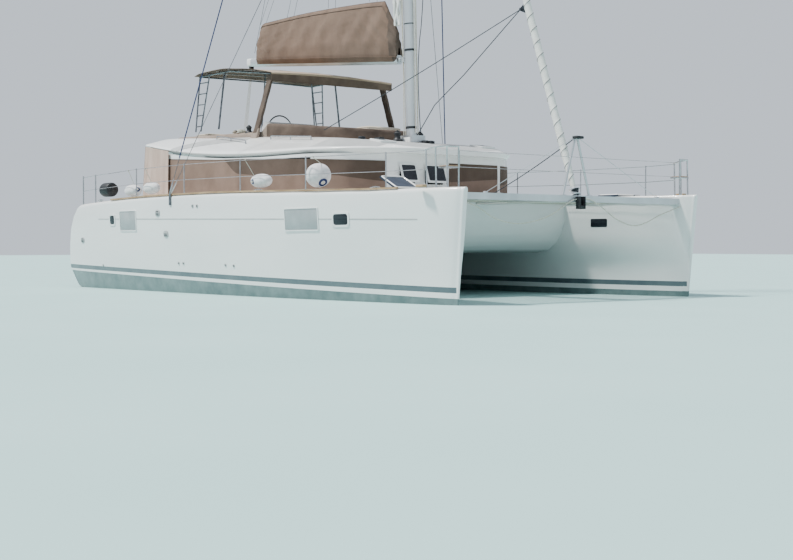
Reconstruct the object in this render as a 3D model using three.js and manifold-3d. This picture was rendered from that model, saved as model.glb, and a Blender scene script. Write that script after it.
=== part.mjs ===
// Sailing catamaran with two hulls, a flybridge over the saloon and a fractional sloop rig.
// Millimetres. +X forward, +Y to port, +Z up. The origin lies on the waterline, amidships.
import * as THREE from 'three';
import { mergeVertices } from 'three/addons/utils/BufferGeometryUtils.js';
import Module from 'manifold-3d';

const wasm = await Module();
wasm.setup();

// Main sizes
const LENGTH_OVERALL = 13960;
const DRAFT = 1300;
const MAST_HEAD_Z = 20600;
const GAP = 0.3;

// Heights of the main levels
const DECK_INNER_Z = 2020;
const FLOOR_Z = 1250;
const TUNNEL_TOP_Z = 860;
const FLY_FLOOR_Z = 3300;
const BEAM_TOP_Z = 1950;
const NET_Z = 1880;

// Colours
const WHITE = [0xf1f2ef, 0.35, 0.0];
const DECK_WHITE = [0xe9e9e3, 0.55, 0.0];
const STEEL = [0xc9ccce, 0.25, 0.9];
const ALUMINIUM = [0xb9bec2, 0.4, 0.8];
const GLASS = [0x1b1f2a, 0.08, 0.0];
const BROWN = [0x6b5646, 0.9, 0.0];
const TAUPE = [0x8d7f72, 0.9, 0.0];
const BEIGE = [0xc9b79a, 0.8, 0.0];
const TEAK = [0xb58d63, 0.75, 0.0];
const CANVAS_WHITE = [0xdfe0df, 0.85, 0.0];
const GREY = [0xa9abac, 0.7, 0.0];
const DARK = [0x23262b, 0.6, 0.0];
const BRONZE = [0x9a7a45, 0.35, 0.9];
const ENGINE_GREY = [0x8f969b, 0.5, 0.2];

// Helpers that turn geometry into closed solids and back

function solid(geometry) {
  const bare = new THREE.BufferGeometry();
  bare.setAttribute('position', geometry.getAttribute('position').clone());
  if (geometry.index) bare.setIndex(geometry.index.clone());
  const merged = mergeVertices(bare, 0.01);
  const made = new wasm.Manifold(new wasm.Mesh({
    numProp: 3,
    vertProperties: new Float32Array(merged.getAttribute('position').array),
    triVerts: new Uint32Array(merged.index.array),
  }));
  return made;
}

function meshOf(name, body, look) {
  const [color, roughness, metalness] = look;
  const data = body.getMesh();
  const geometry = new THREE.BufferGeometry();
  geometry.setAttribute('position', new THREE.Float32BufferAttribute(data.vertProperties, 3));
  geometry.setIndex(new THREE.Uint32BufferAttribute(data.triVerts, 1));
  const mesh = new THREE.Mesh(geometry,
    new THREE.MeshStandardMaterial({ color, roughness, metalness }));
  mesh.name = name;
  return mesh;
}

function join(list) {
  let all = list[0];
  for (const next of list.slice(1)) all = all.add(next);
  return all;
}

function mirrored(body) {
  return body.mirror([0, 1, 0]);
}

function box(x0, x1, y0, y1, z0, z1) {
  const geometry = new THREE.BoxGeometry(x1 - x0, y1 - y0, z1 - z0);
  geometry.translate((x0 + x1) / 2, (y0 + y1) / 2, (z0 + z1) / 2);
  return solid(geometry);
}

function shapeOf(outline) {
  return new THREE.Shape(outline.map(([u, v]) => new THREE.Vector2(u, v)));
}

// A plate with its outline in the horizontal plane, between two heights.
function planPrism(outline, z0, z1) {
  const geometry = new THREE.ExtrudeGeometry(shapeOf(outline), { depth: z1 - z0, bevelEnabled: false });
  geometry.translate(0, 0, z0);
  return solid(geometry);
}

// A plate with its outline in the lengthwise plane (x, z), between two widths.
function sidePrism(outline, y0, y1) {
  const geometry = new THREE.ExtrudeGeometry(shapeOf(outline), { depth: y1 - y0, bevelEnabled: false });
  geometry.rotateX(Math.PI / 2);
  geometry.translate(0, y1, 0);
  return solid(geometry);
}

// A bar with its outline across the boat (y, z), between two stations.
function crossPrism(outline, x0, x1) {
  const geometry = new THREE.ExtrudeGeometry(shapeOf(outline), { depth: x1 - x0, bevelEnabled: false });
  const turn = new THREE.Matrix4().makeBasis(
    new THREE.Vector3(0, 1, 0), new THREE.Vector3(0, 0, 1), new THREE.Vector3(1, 0, 0));
  geometry.applyMatrix4(turn);
  geometry.translate(x0, 0, 0);
  return solid(geometry);
}

// A round or oval bar between two points.
function bar(a, b, radius, sides = 8, endRadius = radius, flatten = 1) {
  const from = new THREE.Vector3(...a);
  const to = new THREE.Vector3(...b);
  const axis = to.clone().sub(from);
  const geometry = new THREE.CylinderGeometry(endRadius, radius, axis.length(), sides);
  if (flatten !== 1) geometry.scale(flatten, 1, 1);
  geometry.applyQuaternion(new THREE.Quaternion().setFromUnitVectors(
    new THREE.Vector3(0, 1, 0), axis.clone().normalize()));
  geometry.translate((a[0] + b[0]) / 2, (a[1] + b[1]) / 2, (a[2] + b[2]) / 2);
  return solid(geometry);
}

// A run of bars from point to point, each a little longer so that they join at the bends.
function run(points, radius, sides = 8) {
  const bars = [];
  for (let i = 0; i + 1 < points.length; i += 1) {
    const from = new THREE.Vector3(...points[i]);
    const to = new THREE.Vector3(...points[i + 1]);
    const step = to.clone().sub(from).normalize().multiplyScalar(radius * 0.6);
    bars.push(bar(from.clone().sub(step).toArray(), to.clone().add(step).toArray(), radius, sides));
  }
  return join(bars);
}

// A skin through closed rings of the same number of points, with a fan over each end.
function loft(rings) {
  const count = rings[0].length;
  const points = rings.flat();
  const faces = [];
  for (let r = 0; r + 1 < rings.length; r += 1) {
    for (let i = 0; i < count; i += 1) {
      const j = (i + 1) % count;
      const a = r * count + i;
      const b = r * count + j;
      const c = a + count;
      const d = b + count;
      faces.push([a, b, d], [a, d, c]);
    }
  }
  for (const [ring, turned] of [[0, false], [rings.length - 1, true]]) {
    const middle = new THREE.Vector3();
    for (const p of rings[ring]) middle.add(new THREE.Vector3(...p));
    middle.divideScalar(count);
    points.push(middle.toArray());
    const tip = points.length - 1;
    for (let i = 0; i < count; i += 1) {
      const j = (i + 1) % count;
      const a = ring * count + i;
      const b = ring * count + j;
      faces.push(turned ? [tip, a, b] : [tip, b, a]);
    }
  }
  let volume = 0;
  for (const [a, b, c] of faces) {
    const [p, q, s] = [a, b, c].map((k) => new THREE.Vector3(...points[k]));
    volume += p.dot(q.cross(s));
  }
  const index = (volume > 0 ? faces : faces.map(([a, b, c]) => [a, c, b])).flat();
  const geometry = new THREE.BufferGeometry();
  geometry.setAttribute('position', new THREE.Float32BufferAttribute(points.flat(), 3));
  geometry.setIndex(index);
  return solid(geometry);
}

function mix(a, b, t) {
  return a + (b - a) * t;
}

// Straight-line reading of a table with x in its first column, falling or rising.
function read(table, x, column) {
  const rows = [...table].sort((p, q) => p[0] - q[0]);
  if (x <= rows[0][0]) return rows[0][column];
  for (let i = 0; i + 1 < rows.length; i += 1) {
    const [low, high] = [rows[i], rows[i + 1]];
    if (x <= high[0]) return mix(low[column], high[column], (x - low[0]) / (high[0] - low[0]));
  }
  return rows[rows.length - 1][column];
}

// Takes the carriers away from a piece with a small seam on the side that faces them.
function seat(piece, carriers, shifts = [[0, 0, GAP]]) {
  let left = piece;
  for (const carrier of carriers) {
    for (const shift of shifts) left = left.subtract(carrier.translate(shift));
  }
  return left;
}

// Hull. Columns: station x, outer sheer y, outer waterline y, inner waterline y, inner deck y,
// sheer z, keel z. The port hull is drawn and the starboard one is its mirror image.
const HULL = [
  [-6950, 3740, 3600, 2560, 2420, 1900, 20],
  [-6070, 3820, 3660, 2500, 2360, 1990, -170],
  [-4500, 3885, 3700, 2450, 2280, 2050, -360],
  [-2500, 3918, 3720, 2420, 2250, 2090, -470],
  [0, 3915, 3715, 2420, 2250, 2095, -520],
  [2000, 3870, 3650, 2450, 2250, 2065, -520],
  [3600, 3760, 3530, 2540, 2300, 2035, -490],
  [4900, 3600, 3390, 2680, 2440, 2020, -430],
  [5900, 3420, 3270, 2820, 2640, 2025, -340],
  [6500, 3285, 3185, 2920, 2810, 2030, -230],
  [6800, 3185, 3125, 2985, 2920, 2030, -120],
  [6930, 3110, 3080, 3030, 2990, 2030, -60],
];

function hullRing([x, sheerY, waterY, innerWaterY, innerDeckY, sheerZ, keelZ]) {
  const middle = (waterY + innerWaterY) / 2;
  const fine = Math.min(1, Math.max(0, (x - 5400) / 1500));
  const aft = Math.min(1, Math.max(0, (-6070 - x) / 880));
  const points = [
    [sheerY, sheerZ],
    [mix(sheerY, waterY, 0.1), 1480],
    [mix(sheerY, waterY, 0.45), 800],
    [mix(sheerY, waterY, 0.8), 300],
    [waterY, 0],
    [mix(waterY, middle, 0.22), keelZ * 0.6],
    [mix(waterY, middle, 0.65), keelZ * 0.93],
    [middle, keelZ],
    [mix(innerWaterY, middle, 0.65), keelZ * 0.93],
    [mix(innerWaterY, middle, 0.22), keelZ * 0.6],
    [innerWaterY, 0],
    [innerWaterY, 560],
    [mix(innerWaterY, innerDeckY, 0.7), 900],
    [innerDeckY, 1150],
    [innerDeckY, DECK_INNER_Z],
  ];
  return points.map(([y, z]) => {
    const rake = fine * 200 * (z - 2030) / 2030;
    const cut = aft * 380 * Math.max(0, 480 - z) / 480;
    return [x + rake + cut, y, z];
  });
}

function hullBody() {
  const rings = HULL.map(hullRing);
  const [lastX, , , , , , keelZ] = HULL[HULL.length - 1];
  const reach = LENGTH_OVERALL / 2 - lastX;
  const nose = rings[rings.length - 1].map(([x, y, z]) => {
    const middle = 3055;
    return [x + reach, mix(y, middle, 0.75), Math.max(z, keelZ * 0.5)];
  });
  return loft([...rings, nose]);
}

// Keel: a long stub with a flat sole, moulded on the hull.
const KEEL = { front: 1500, back: -1500, soleFront: 1150, soleBack: -1350, y: 3070, half: 130 };

function keelBody() {
  const { front, back, soleFront, soleBack, y, half } = KEEL;
  const outline = (a, b, w) => [
    [a, y], [mix(a, b, 0.12), y + w * 0.75], [mix(a, b, 0.35), y + w], [mix(a, b, 0.7), y + w * 0.75],
    [b, y + w * 0.2], [b, y - w * 0.2], [mix(a, b, 0.7), y - w * 0.75], [mix(a, b, 0.35), y - w],
    [mix(a, b, 0.12), y - w * 0.75],
  ];
  const top = outline(front, back, half).map(([px, py]) => [px, py, -380]);
  const low = outline(soleFront, soleBack, half * 0.8).map(([px, py]) => [px, py, -DRAFT]);
  return loft([low, top]);
}

// Steps down to the water at the stern: tread height and the station where each one ends.
const STEPS = [
  { z: 430, x: -6320 },
  { z: 820, x: -5960 },
  { z: 1210, x: -5600 },
  { z: 1610, x: -5240 },
];
const STEP_SIDE = { inner: 2100, outer: 3560 };
const BULWARK_CURVE = [
  [-7100, 380], [-6965, 430], [-6940, 700], [-6870, 1050], [-6740, 1400], [-6520, 1700], [-6250, 1900],
  [-6070, 1985], [-6070, 2300], [-7100, 2300],
];
const ENGINE_BAY = { front: -4080, back: -4900, inner: 2860, outer: 3440, sole: 300 };
const HATCH_WELL = { front: 5230, back: 4760, inner: 2690, outer: 3160, sole: 1500 };
const RUDDER_X = -5850;
const RUDDER_Y = 3080;
const STOCK_RADIUS = 34;

function hullPort() {
  let hull = hullBody().add(keelBody());
  for (const { z, x } of STEPS) {
    hull = hull.subtract(box(-7200, x, STEP_SIDE.inner, STEP_SIDE.outer, z, 2400));
  }
  hull = hull.subtract(sidePrism(BULWARK_CURVE, 2000, 4100));
  const bay = ENGINE_BAY;
  hull = hull.subtract(box(bay.back, bay.front, bay.inner, bay.outer, bay.sole, 2400));
  const well = HATCH_WELL;
  hull = hull.subtract(box(well.back, well.front, well.inner, well.outer, well.sole, 2400));
  hull = hull.subtract(bar([RUDDER_X, RUDDER_Y, -600], [RUDDER_X, RUDDER_Y, 120], STOCK_RADIUS + 0.6, 24));
  return hull;
}

// Bridge deck between the hulls with the saloon floor, the cockpit floor, the fore locker and the
// beam across the stern.
const FORE_LOCKER = { front: 4060, back: 2960 };
const COCKPIT = { front: -2330, back: -5360, half: 2130 };
const STERN_BEAM_X = -5950;

function bridgeDeck(hulls) {
  const profile = [
    [FORE_LOCKER.front, 1960], [FORE_LOCKER.front, 1560], [3980, 1300], [3820, 1080], [3560, 920],
    [3200, TUNNEL_TOP_Z], [-5300, TUNNEL_TOP_Z + 30], [-5760, 980], [STERN_BEAM_X, 1180],
    [STERN_BEAM_X, 1760], [COCKPIT.back, 1760], [COCKPIT.back, FLOOR_Z],
    [FORE_LOCKER.back, FLOOR_Z], [FORE_LOCKER.back, 1960],
  ];
  const slab = sidePrism(profile, -2700, 2700);
  const shifts = [[0, -GAP, 0], [0, GAP, 0]];
  return seat(slab, hulls, shifts);
}

// Deckhouse walls. The sides stand on the side decks, the front wall on the fore locker.
const HOUSE = { front: 3000, cornerX: 2450, sideY: 2700, wall: 90, top: 2960, back: -4860 };
const HOUSE_PLAN = [
  [3000, 1380], [2760, 1800], [2450, 2180], [2050, 2500], [1600, 2680], [900, 2700], [-4860, 2700],
];
const SIDE_WINDOWS = [
  { front: 1780, back: 420, low: 2360, high: 2800 },
  { front: 300, back: -2060, low: 2360, high: 2800 },
  { front: -2560, back: -4560, low: 2360, high: 2860 },
];
const FRONT_WINDOWS = [
  { y0: -1300, y1: -900 }, { y0: -640, y1: -140 }, { y0: 140, y1: 640 }, { y0: 900, y1: 1300 },
];
const FRONT_WINDOW_LOW = 2260;
const FRONT_WINDOW_HIGH = 2680;

function wallPlan(offset) {
  return HOUSE_PLAN.map(([x, y]) => [
    x - offset * (x > 1600 ? 0.8 : 0), y - offset * (x > 2900 ? 0.3 : 0.85),
  ]);
}

function sideWall(carriers, roofUnder) {
  const outer = HOUSE_PLAN.slice(1);
  const inner = wallPlan(HOUSE.wall).slice(1).reverse();
  let wall = planPrism([...outer, ...inner], 1300, 3400);
  for (const { front, back, low, high } of SIDE_WINDOWS) {
    wall = wall.subtract(box(back, front, 2400, 2900, low, high));
  }
  wall = seat(wall, carriers, [[0, 0, GAP], [0, GAP, 0], [0, -GAP, 0]]);
  return wall.subtract(roofUnder);
}

function frontWall(carriers, roofUnder) {
  const front = HOUSE.front;
  const corner = HOUSE_PLAN[1];
  const plan = [
    [front, -1380], [front, 1380], [corner[0] - 0.4, corner[1] - 0.6],
    [corner[0] - 75, corner[1] - 80], [front - HOUSE.wall, 1330], [front - HOUSE.wall, -1330],
    [corner[0] - 75, -corner[1] + 80], [corner[0] - 0.4, -corner[1] + 0.6],
  ];
  let wall = planPrism(plan, 1300, 3300);
  for (const { y0, y1 } of FRONT_WINDOWS) {
    wall = wall.subtract(box(2800, 3100, y0, y1, FRONT_WINDOW_LOW, FRONT_WINDOW_HIGH));
  }
  wall = seat(wall, carriers, [[0, 0, GAP], [GAP, 0, 0]]);
  return wall.subtract(roofUnder);
}

const DOOR = { y0: -880, y1: 120, low: 1258, high: 2850, x: -2340.6, thick: 32, travel: 1000 };

function aftBulkhead(carriers, roofUnder) {
  let wall = box(-2340, -2270, -2617, 2617, 1250 + GAP, 3300);
  wall = wall.subtract(box(-2500, -2100, DOOR.y0 + 40, DOOR.y1 - 40, 1200, 2800));
  wall = wall.subtract(box(-2500, -2100, 1200, 2100, 1900, 2780));
  wall = seat(wall, carriers, [[0, 0, GAP], [0, GAP, 0], [0, -GAP, 0]]);
  return wall.subtract(roofUnder);
}

// Roof over the saloon and the cockpit. Columns: station, half width, height of the crown.
const ROOF = [
  [3230, 760, 108], [3150, 1300, 135], [2900, 1820, 190], [2480, 2230, 262], [1900, 2520, 340],
  [1100, 2700, 410], [0, 2740, 474], [-1300, 2750, 513], [-2500, 2750, 481], [-3300, 2750, 441],
  [-3900, 2745, 395], [-4600, 2725, 311], [-4900, 2690, 210], [-5100, 2540, 110],
];
const WELL_BACK = -4620;

function roofLow(x) {
  const aft = Math.max(0, (900 - x) / 5800);
  return 2870 + 440 * aft ** 2.3;
}

function roofSection([x, half, crown]) {
  const low = roofLow(x);
  const lean = Math.min(1, crown / 430);
  const side = [
    [half - 130 * lean - 40, low], [half - 10, low + 25], [half, low + 45], [half, low + 95],
    [half - 60 * lean, low + 95 + (crown - 95) * 0.1], [half - 560 * lean, low + mix(95, crown, 0.72)],
    [half - 800 * lean, low + crown],
  ];
  return [
    ...side.map(([y, z]) => [x, y, z]),
    ...[...side].reverse().map(([y, z]) => [x, -y, z]),
  ];
}

function roofBody() {
  let roof = loft(ROOF.map(roofSection));
  roof = roof.subtract(box(-4950, 1700, -1850, 1850, 2500, 3170));
  roof = roof.add(box(-4720, -3000, -1900, 1900, 3170, FLY_FLOOR_Z));
  roof = roof.subtract(planPrism([
    [900, -1500], [900, 1500], [-1500, 1680], [WELL_BACK, 1680], [WELL_BACK, -1680], [-1500, -1680],
  ], FLY_FLOOR_Z, 4000));
  return roof;
}

// Everything above the roof's underside, used to trim the walls with a seam.
function roofUnder() {
  return loft(ROOF.map(([x]) => {
    const low = roofLow(x) - GAP;
    return [[x, 3000, low], [x, 3000, 4500], [x, -3000, 4500], [x, -3000, low]];
  }));
}

// Coaming round the flybridge well, open at the stern.
const COAMING_OUTER = [[1250, 900], [1050, 1400], [500, 1660], [-600, 1830], [-1500, 1900], [-4700, 1930]];
const COAMING_INNER = [[-4700, 1700], [-1500, 1670], [-600, 1590], [300, 1420], [760, 1180], [930, 800]];

function flybridgeCoaming(roof) {
  const outer = COAMING_OUTER;
  const inner = COAMING_INNER;
  const plan = [
    ...outer, ...inner,
    ...[...inner].reverse().map(([x, y]) => [x, -y]),
    ...[...outer].reverse().map(([x, y]) => [x, -y]),
  ];
  const top = sidePrism([
    [1300, 3200], [1300, 3500], [-200, 3640], [-1400, 3740], [-2400, 3720], [-4800, 3700],
    [-4800, 3300], [-3900, 3200],
  ], -2000, 2000);
  return seat(planPrism(plan, 3200, 3900).intersect(top), [roof]);
}

function flybridgeSeats() {
  const z = FLY_FLOOR_Z + GAP;
  const base = planPrism([
    [-4600, -1620], [300, -1200], [300, 1200], [-4600, 1620],
  ], z, z + 15);
  const bench = [
    box(-3900, 150, 950, 1590, z, 3700),
    box(-4560, -3900, -1590, 1590, z, 3700),
    box(-4600, -4480, -1590, 1590, 3600, 3990),
    box(-350, 150, 100, 1100, z, 3700),
  ];
  const bench2 = planPrism([[150, 950], [150, 1330], [-600, 1500], [-600, 950]], z, 3700);
  bench[0] = box(-3900, -600, 950, 1590, z, 3700);
  const helmSeat = [
    box(-3460, -2960, -1150, 150, z, 3760),
    box(-3520, -3420, -1150, 150, z, 4150),
  ];
  return join([base, ...bench, bench2, ...helmSeat]).subtract(box(-5000, 1000, -3000, 3000, 3000, z));
}

const WHEEL = { x: -2420, y: -500, z: 3705, radius: 345 };

function helmConsole() {
  const outline = [
    [-2230, FLY_FLOOR_Z + 16], [-2230, 3720], [-2120, 3850], [-1950, 3850], [-1700, 3560],
    [-1700, FLY_FLOOR_Z + 16],
  ];
  return sidePrism(outline, -1150, 160);
}

// Rounded frame pieces and the boat's fittings

// A sheet that follows the side wall, outside it for a cover and inside it for the glass.
function wallSheet(offsetA, offsetB, outline) {
  const a = wallPlan(offsetA).slice(1);
  const b = wallPlan(offsetB).slice(1).reverse();
  return planPrism([...a, ...b], 1900, 3200).intersect(sidePrism(outline, 1500, 3000));
}

function glassSide() {
  const [front, , aft] = SIDE_WINDOWS;
  const outline = [
    [front.front + 30, front.low - 25], [front.front + 30, front.high + 30],
    [aft.back - 30, aft.high], [aft.back - 30, aft.low - 25],
  ];
  return wallSheet(HOUSE.wall + 0.6, HOUSE.wall + 7, outline);
}

function glassFront() {
  const x = HOUSE.front - HOUSE.wall - GAP;
  return box(x - 6, x, -1325, 1325, FRONT_WINDOW_LOW - 25, FRONT_WINDOW_HIGH + 25);
}

const COVER_OUTLINE = [
  [2900, 2150], [2900, 2712], [900, 2800], [-400, 2862], [-1600, 2900], [-4600, 3060], [-4600, 2180],
];

function coverSide() {
  return wallSheet(-0.5, -9, COVER_OUTLINE);
}

function coverFront() {
  return box(HOUSE.front + GAP, HOUSE.front + 9, 20, 1375, 2085, 2712);
}

// Forward beam, walkway, nets and the strut that holds the beam up
const FORE_BEAM = { x0: 6540, x1: 6680, half: 2960, low: 1830 };

function foreBeam(hulls) {
  const outline = [
    [-FORE_BEAM.half, FORE_BEAM.low + 15], [-2700, FORE_BEAM.low], [2700, FORE_BEAM.low],
    [FORE_BEAM.half, FORE_BEAM.low + 15], [FORE_BEAM.half, BEAM_TOP_Z], [-FORE_BEAM.half, BEAM_TOP_Z],
  ];
  const beam = crossPrism(outline, FORE_BEAM.x0, FORE_BEAM.x1);
  return seat(beam, hulls, [[0, GAP, 0], [0, -GAP, 0]]);
}

function walkway() {
  const plank = box(FORE_LOCKER.front + GAP, FORE_BEAM.x0 - GAP, -190, 190, 1840, 1925);
  return plank;
}

function bowRoller() {
  const x = FORE_BEAM.x1 + GAP;
  const cheeks = [
    box(x, x + 110, -75, -50, 1700, 1930),
    box(x, x + 110, 50, 75, 1700, 1930),
    box(x, x + 12, -75, 75, 1700, 1930),
    bar([x + 70, -60, 1740], [x + 70, 60, 1740], 34, 12),
  ];
  return join(cheeks);
}

function net(hull) {
  const x0 = FORE_LOCKER.front + GAP;
  const x1 = FORE_BEAM.x0 - GAP;
  const stations = [x0, 4900, 5900, 6500, x1];
  const inner = 190 + GAP;
  const sheet = planPrism([
    [x0, inner], ...[...stations].map((x) => [x, read(HULL, x, 4) + 25]), [x1, inner],
  ], NET_Z, NET_Z + 18);
  return seat(sheet, [hull], [[0, -GAP, 0]]);
}

const STRIKER_TOP = 3030;

function striker() {
  const x = 6610;
  const foot = BEAM_TOP_Z + GAP;
  const legs = [-350, 350].map((y) => bar([x, y, foot], [x, y * 0.08, STRIKER_TOP], 24, 10));
  const plate = box(x - 45, x + 45, -60, 60, STRIKER_TOP - 40, STRIKER_TOP + 30);
  const stays = [-1, 1].map((s) => bar([x, s * 40, STRIKER_TOP], [x, s * 2280, foot + 8], 6, 8));
  const feet = [-2280, 2280].map((y) => box(x - 30, x + 30, y - 30, y + 30, foot, foot + 30));
  const pads = [-350, 350].map((y) => box(x - 45, x + 45, y - 45, y + 45, foot, foot + 12));
  return join([...legs, plate, ...stays, ...feet, ...pads]).subtract(
    box(x - 500, x + 500, -3000, 3000, 1000, foot));
}

// Mast with one pair of swept spreaders. It leans aft a little.
const MAST_FOOT = [1810, 0, 3240];
const MAST_HEAD = [1260, 0, MAST_HEAD_Z];
const SPREADER_Z = 12600;
const HOUNDS_Z = 16500;

function mastAt(z) {
  const t = (z - MAST_FOOT[2]) / (MAST_HEAD[2] - MAST_FOOT[2]);
  return mix(MAST_FOOT[0], MAST_HEAD[0], t);
}

function mast(roof) {
  const section = (x, z, size) => {
    const ring = [];
    for (let i = 0; i < 14; i += 1) {
      const a = (i / 14) * Math.PI * 2;
      ring.push([x + Math.cos(a) * 135 * size, Math.sin(a) * 92 * size, z]);
    }
    return ring;
  };
  const levels = [[3345, 1], [HOUNDS_Z, 1], [MAST_HEAD_Z - 60, 0.75]];
  const tube = loft(levels.map(([z, size]) => section(mastAt(z), z, size)));
  const step = box(1600, 2040, -190, 190, 3200, 3350);
  const tips = [-1, 1].map((s) => bar(
    [mastAt(SPREADER_Z), 0, SPREADER_Z], [mastAt(SPREADER_Z) - 1000, s * 1750, SPREADER_Z + 60],
    42, 8, 26));
  const head = box(mastAt(MAST_HEAD_Z) - 330, mastAt(MAST_HEAD_Z) + 190, -35, 35,
    MAST_HEAD_Z - 90, MAST_HEAD_Z);
  const [x, , z] = BOOM_PIVOT;
  const gooseneck = [
    box(x - 32, x + 90, -38, 38, z + 38.6, z + 56),
    box(x - 32, x + 90, -38, 38, z - 56, z - 38.6),
    bar([x, 0, z - 50], [x, 0, z + 50], GOOSENECK_PIN, 16),
  ];
  return seat(join([tube, step, ...tips, head, ...gooseneck]), [roof]);
}

function shrouds(hull) {
  const plateX = -1560;
  const plateY = 3930;
  const x = mastAt(SPREADER_Z) - 1000;
  const low = [plateX - 22, plateY, 2100];
  const cap = run([low, [x, 1782, SPREADER_Z + 62], [mastAt(HOUNDS_Z), 108, HOUNDS_Z]], 7, 6);
  const lower = bar([plateX + 22, plateY, 2100], [mastAt(12480), 100, 12480], 6, 6);
  const plate = [
    box(plateX - 40, plateX + 40, 3900, 3936, 1880, 2055),
    box(plateX - 40, plateX + 40, 3919, 3936, 2050, 2120),
  ];
  return seat(join([cap, lower, ...plate]), [hull], [[0, 0, GAP], [0, GAP, 0]]);
}

const FORESTAY_FOOT = [6540, 0, 2120];

function genoa(beam) {
  const head = [mastAt(HOUNDS_Z) + 166, 0, HOUNDS_Z - 60];
  const roll = loft([[0, 46], [0.04, 68], [0.5, 62], [0.94, 34], [1, 20]].map(([t, r]) => {
    const ring = [];
    for (let i = 0; i < 12; i += 1) {
      const a = (i / 12) * Math.PI * 2;
      ring.push([mix(FORESTAY_FOOT[0], head[0], t) + Math.cos(a) * r, Math.sin(a) * r,
        mix(FORESTAY_FOOT[2], head[2], t)]);
    }
    return ring;
  }));
  const drum = bar([6590, 0, 1990], [6545, 0, 2130], 85, 14);
  const shackle = bar([6600, 0, 1900], [6590, 0, 2000], 20, 8);
  return seat(join([roll, drum, shackle]), [beam]);
}

// Rails and stanchions along the deck edge, with the bow pulpit and the stern rail
const STANCHIONS = [-3200, -1080, 1080, 3200, 5300];
const MIDDLE_WIRE = 0.48;
const UPPER_WIRE = 0.97;
const WIRE_RADIUS = 6;

function sheerZ(x) {
  return read(HULL, x, 5);
}

function sheerY(x) {
  return read(HULL, x, 1);
}

function railBody(hull) {
  const parts = [];
  const inset = 60;
  for (const x of STANCHIONS) {
    parts.push(bar([x, sheerY(x) - inset, sheerZ(x) - 30], [x, sheerY(x) - inset, sheerZ(x) + 660], 13, 8));
  }
  const pulpit = [[6220, 660], [6420, 690], [6640, 700]];
  for (const [x, h] of pulpit) {
    const y = sheerY(x) - 50;
    parts.push(bar([x, y, sheerZ(x) - 30], [x - 20, y, sheerZ(x) + h], 15, 8));
  }
  const railTop = pulpit.map(([x, h]) => [x - 20, sheerY(x) - 50, sheerZ(x) + h]);
  const noseIn = [[6640, 2935, sheerZ(6640) + 700], [6640, 2935, sheerZ(6640) - 30]];
  parts.push(run([...railTop, noseIn[0]], 15, 8));
  parts.push(bar(noseIn[1], noseIn[0], 15, 8));
  parts.push(box(6410, 6650, 2920, 3200, sheerZ(6500) + 330, sheerZ(6500) + 355));
  const stern = [[-5300, 660], [-6000, 680]];
  for (const [x, h] of stern) {
    parts.push(bar([x, sheerY(x) - 55, sheerZ(x) - 60], [x, sheerY(x) - 55, sheerZ(x) + h], 15, 8));
  }
  for (const t of [MIDDLE_WIRE, UPPER_WIRE]) parts.push(run(wirePoints(t), WIRE_RADIUS, 6));
  return seat(join(parts), [hull]);
}

function wirePoints(t) {
  return [-6000, -5300, ...STANCHIONS, 6220].map((x) => {
    const inset = x < -5000 || x > 6000 ? 55 : 60;
    return [x, sheerY(x) - inset, sheerZ(x) + 660 * t];
  });
}

function wireAt(x, t) {
  return [read(wirePoints(t), x, 1), read(wirePoints(t), x, 2)];
}

// Two wires across the bows from pulpit to pulpit, tied together at each end.
function bowWires() {
  const y = 2919.6;
  const foot = sheerZ(6640);
  const heights = [0.5, 0.9].map((t) => foot + 700 * t);
  const lines = heights.map((z) => bar([6642, -y, z], [6642, y, z], 5, 6));
  const ties = [-1, 1].map((s) => bar(
    [6642, s * (y - 8), heights[0]], [6642, s * (y - 8), heights[1]], 5, 6));
  return join([...lines, ...ties]);
}

function toeRail(hull) {
  const xs = [-4400, -2500, 0, 2000, 3600, 4900, 5600];
  const outer = xs.map((x) => [x, sheerY(x) - 4]);
  const inner = xs.map((x) => [x, sheerY(x) - 44]).reverse();
  const band = planPrism([...outer, ...inner], 1900, 2300);
  const top = sidePrism([
    ...xs.map((x) => [x, sheerZ(x) + 32]), ...[...xs].reverse().map((x) => [x, sheerZ(x) - 60]),
  ], 3000, 4200);
  return seat(band.intersect(top), [hull]);
}

// Sun roof over the flybridge
// Columns: station, height of the canvas edge, half width. A valance hangs from the front edge.
const BIMINI = [
  [-4300, 5050, 1690], [-3900, 5085, 1750], [-3000, 5100, 1750], [-2400, 5050, 1750],
  [-1700, 4970, 1750], [-1000, 4840, 1700],
];
const VALANCE_LOW = 4660;

function biminiTop() {
  const canopy = loft(BIMINI.map(([x, z, w]) => [
    [x, -w, z], [x, -w * 0.55, z + 40], [x, 0, z + 55], [x, w * 0.55, z + 40], [x, w, z],
    [x, w, z - 30], [x, w * 0.55, z + 10], [x, 0, z + 25], [x, -w * 0.55, z + 10], [x, -w, z - 30],
  ]));
  return join([canopy, box(-1014, -992, -1685, 1685, VALANCE_LOW, 4850)]);
}

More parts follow.
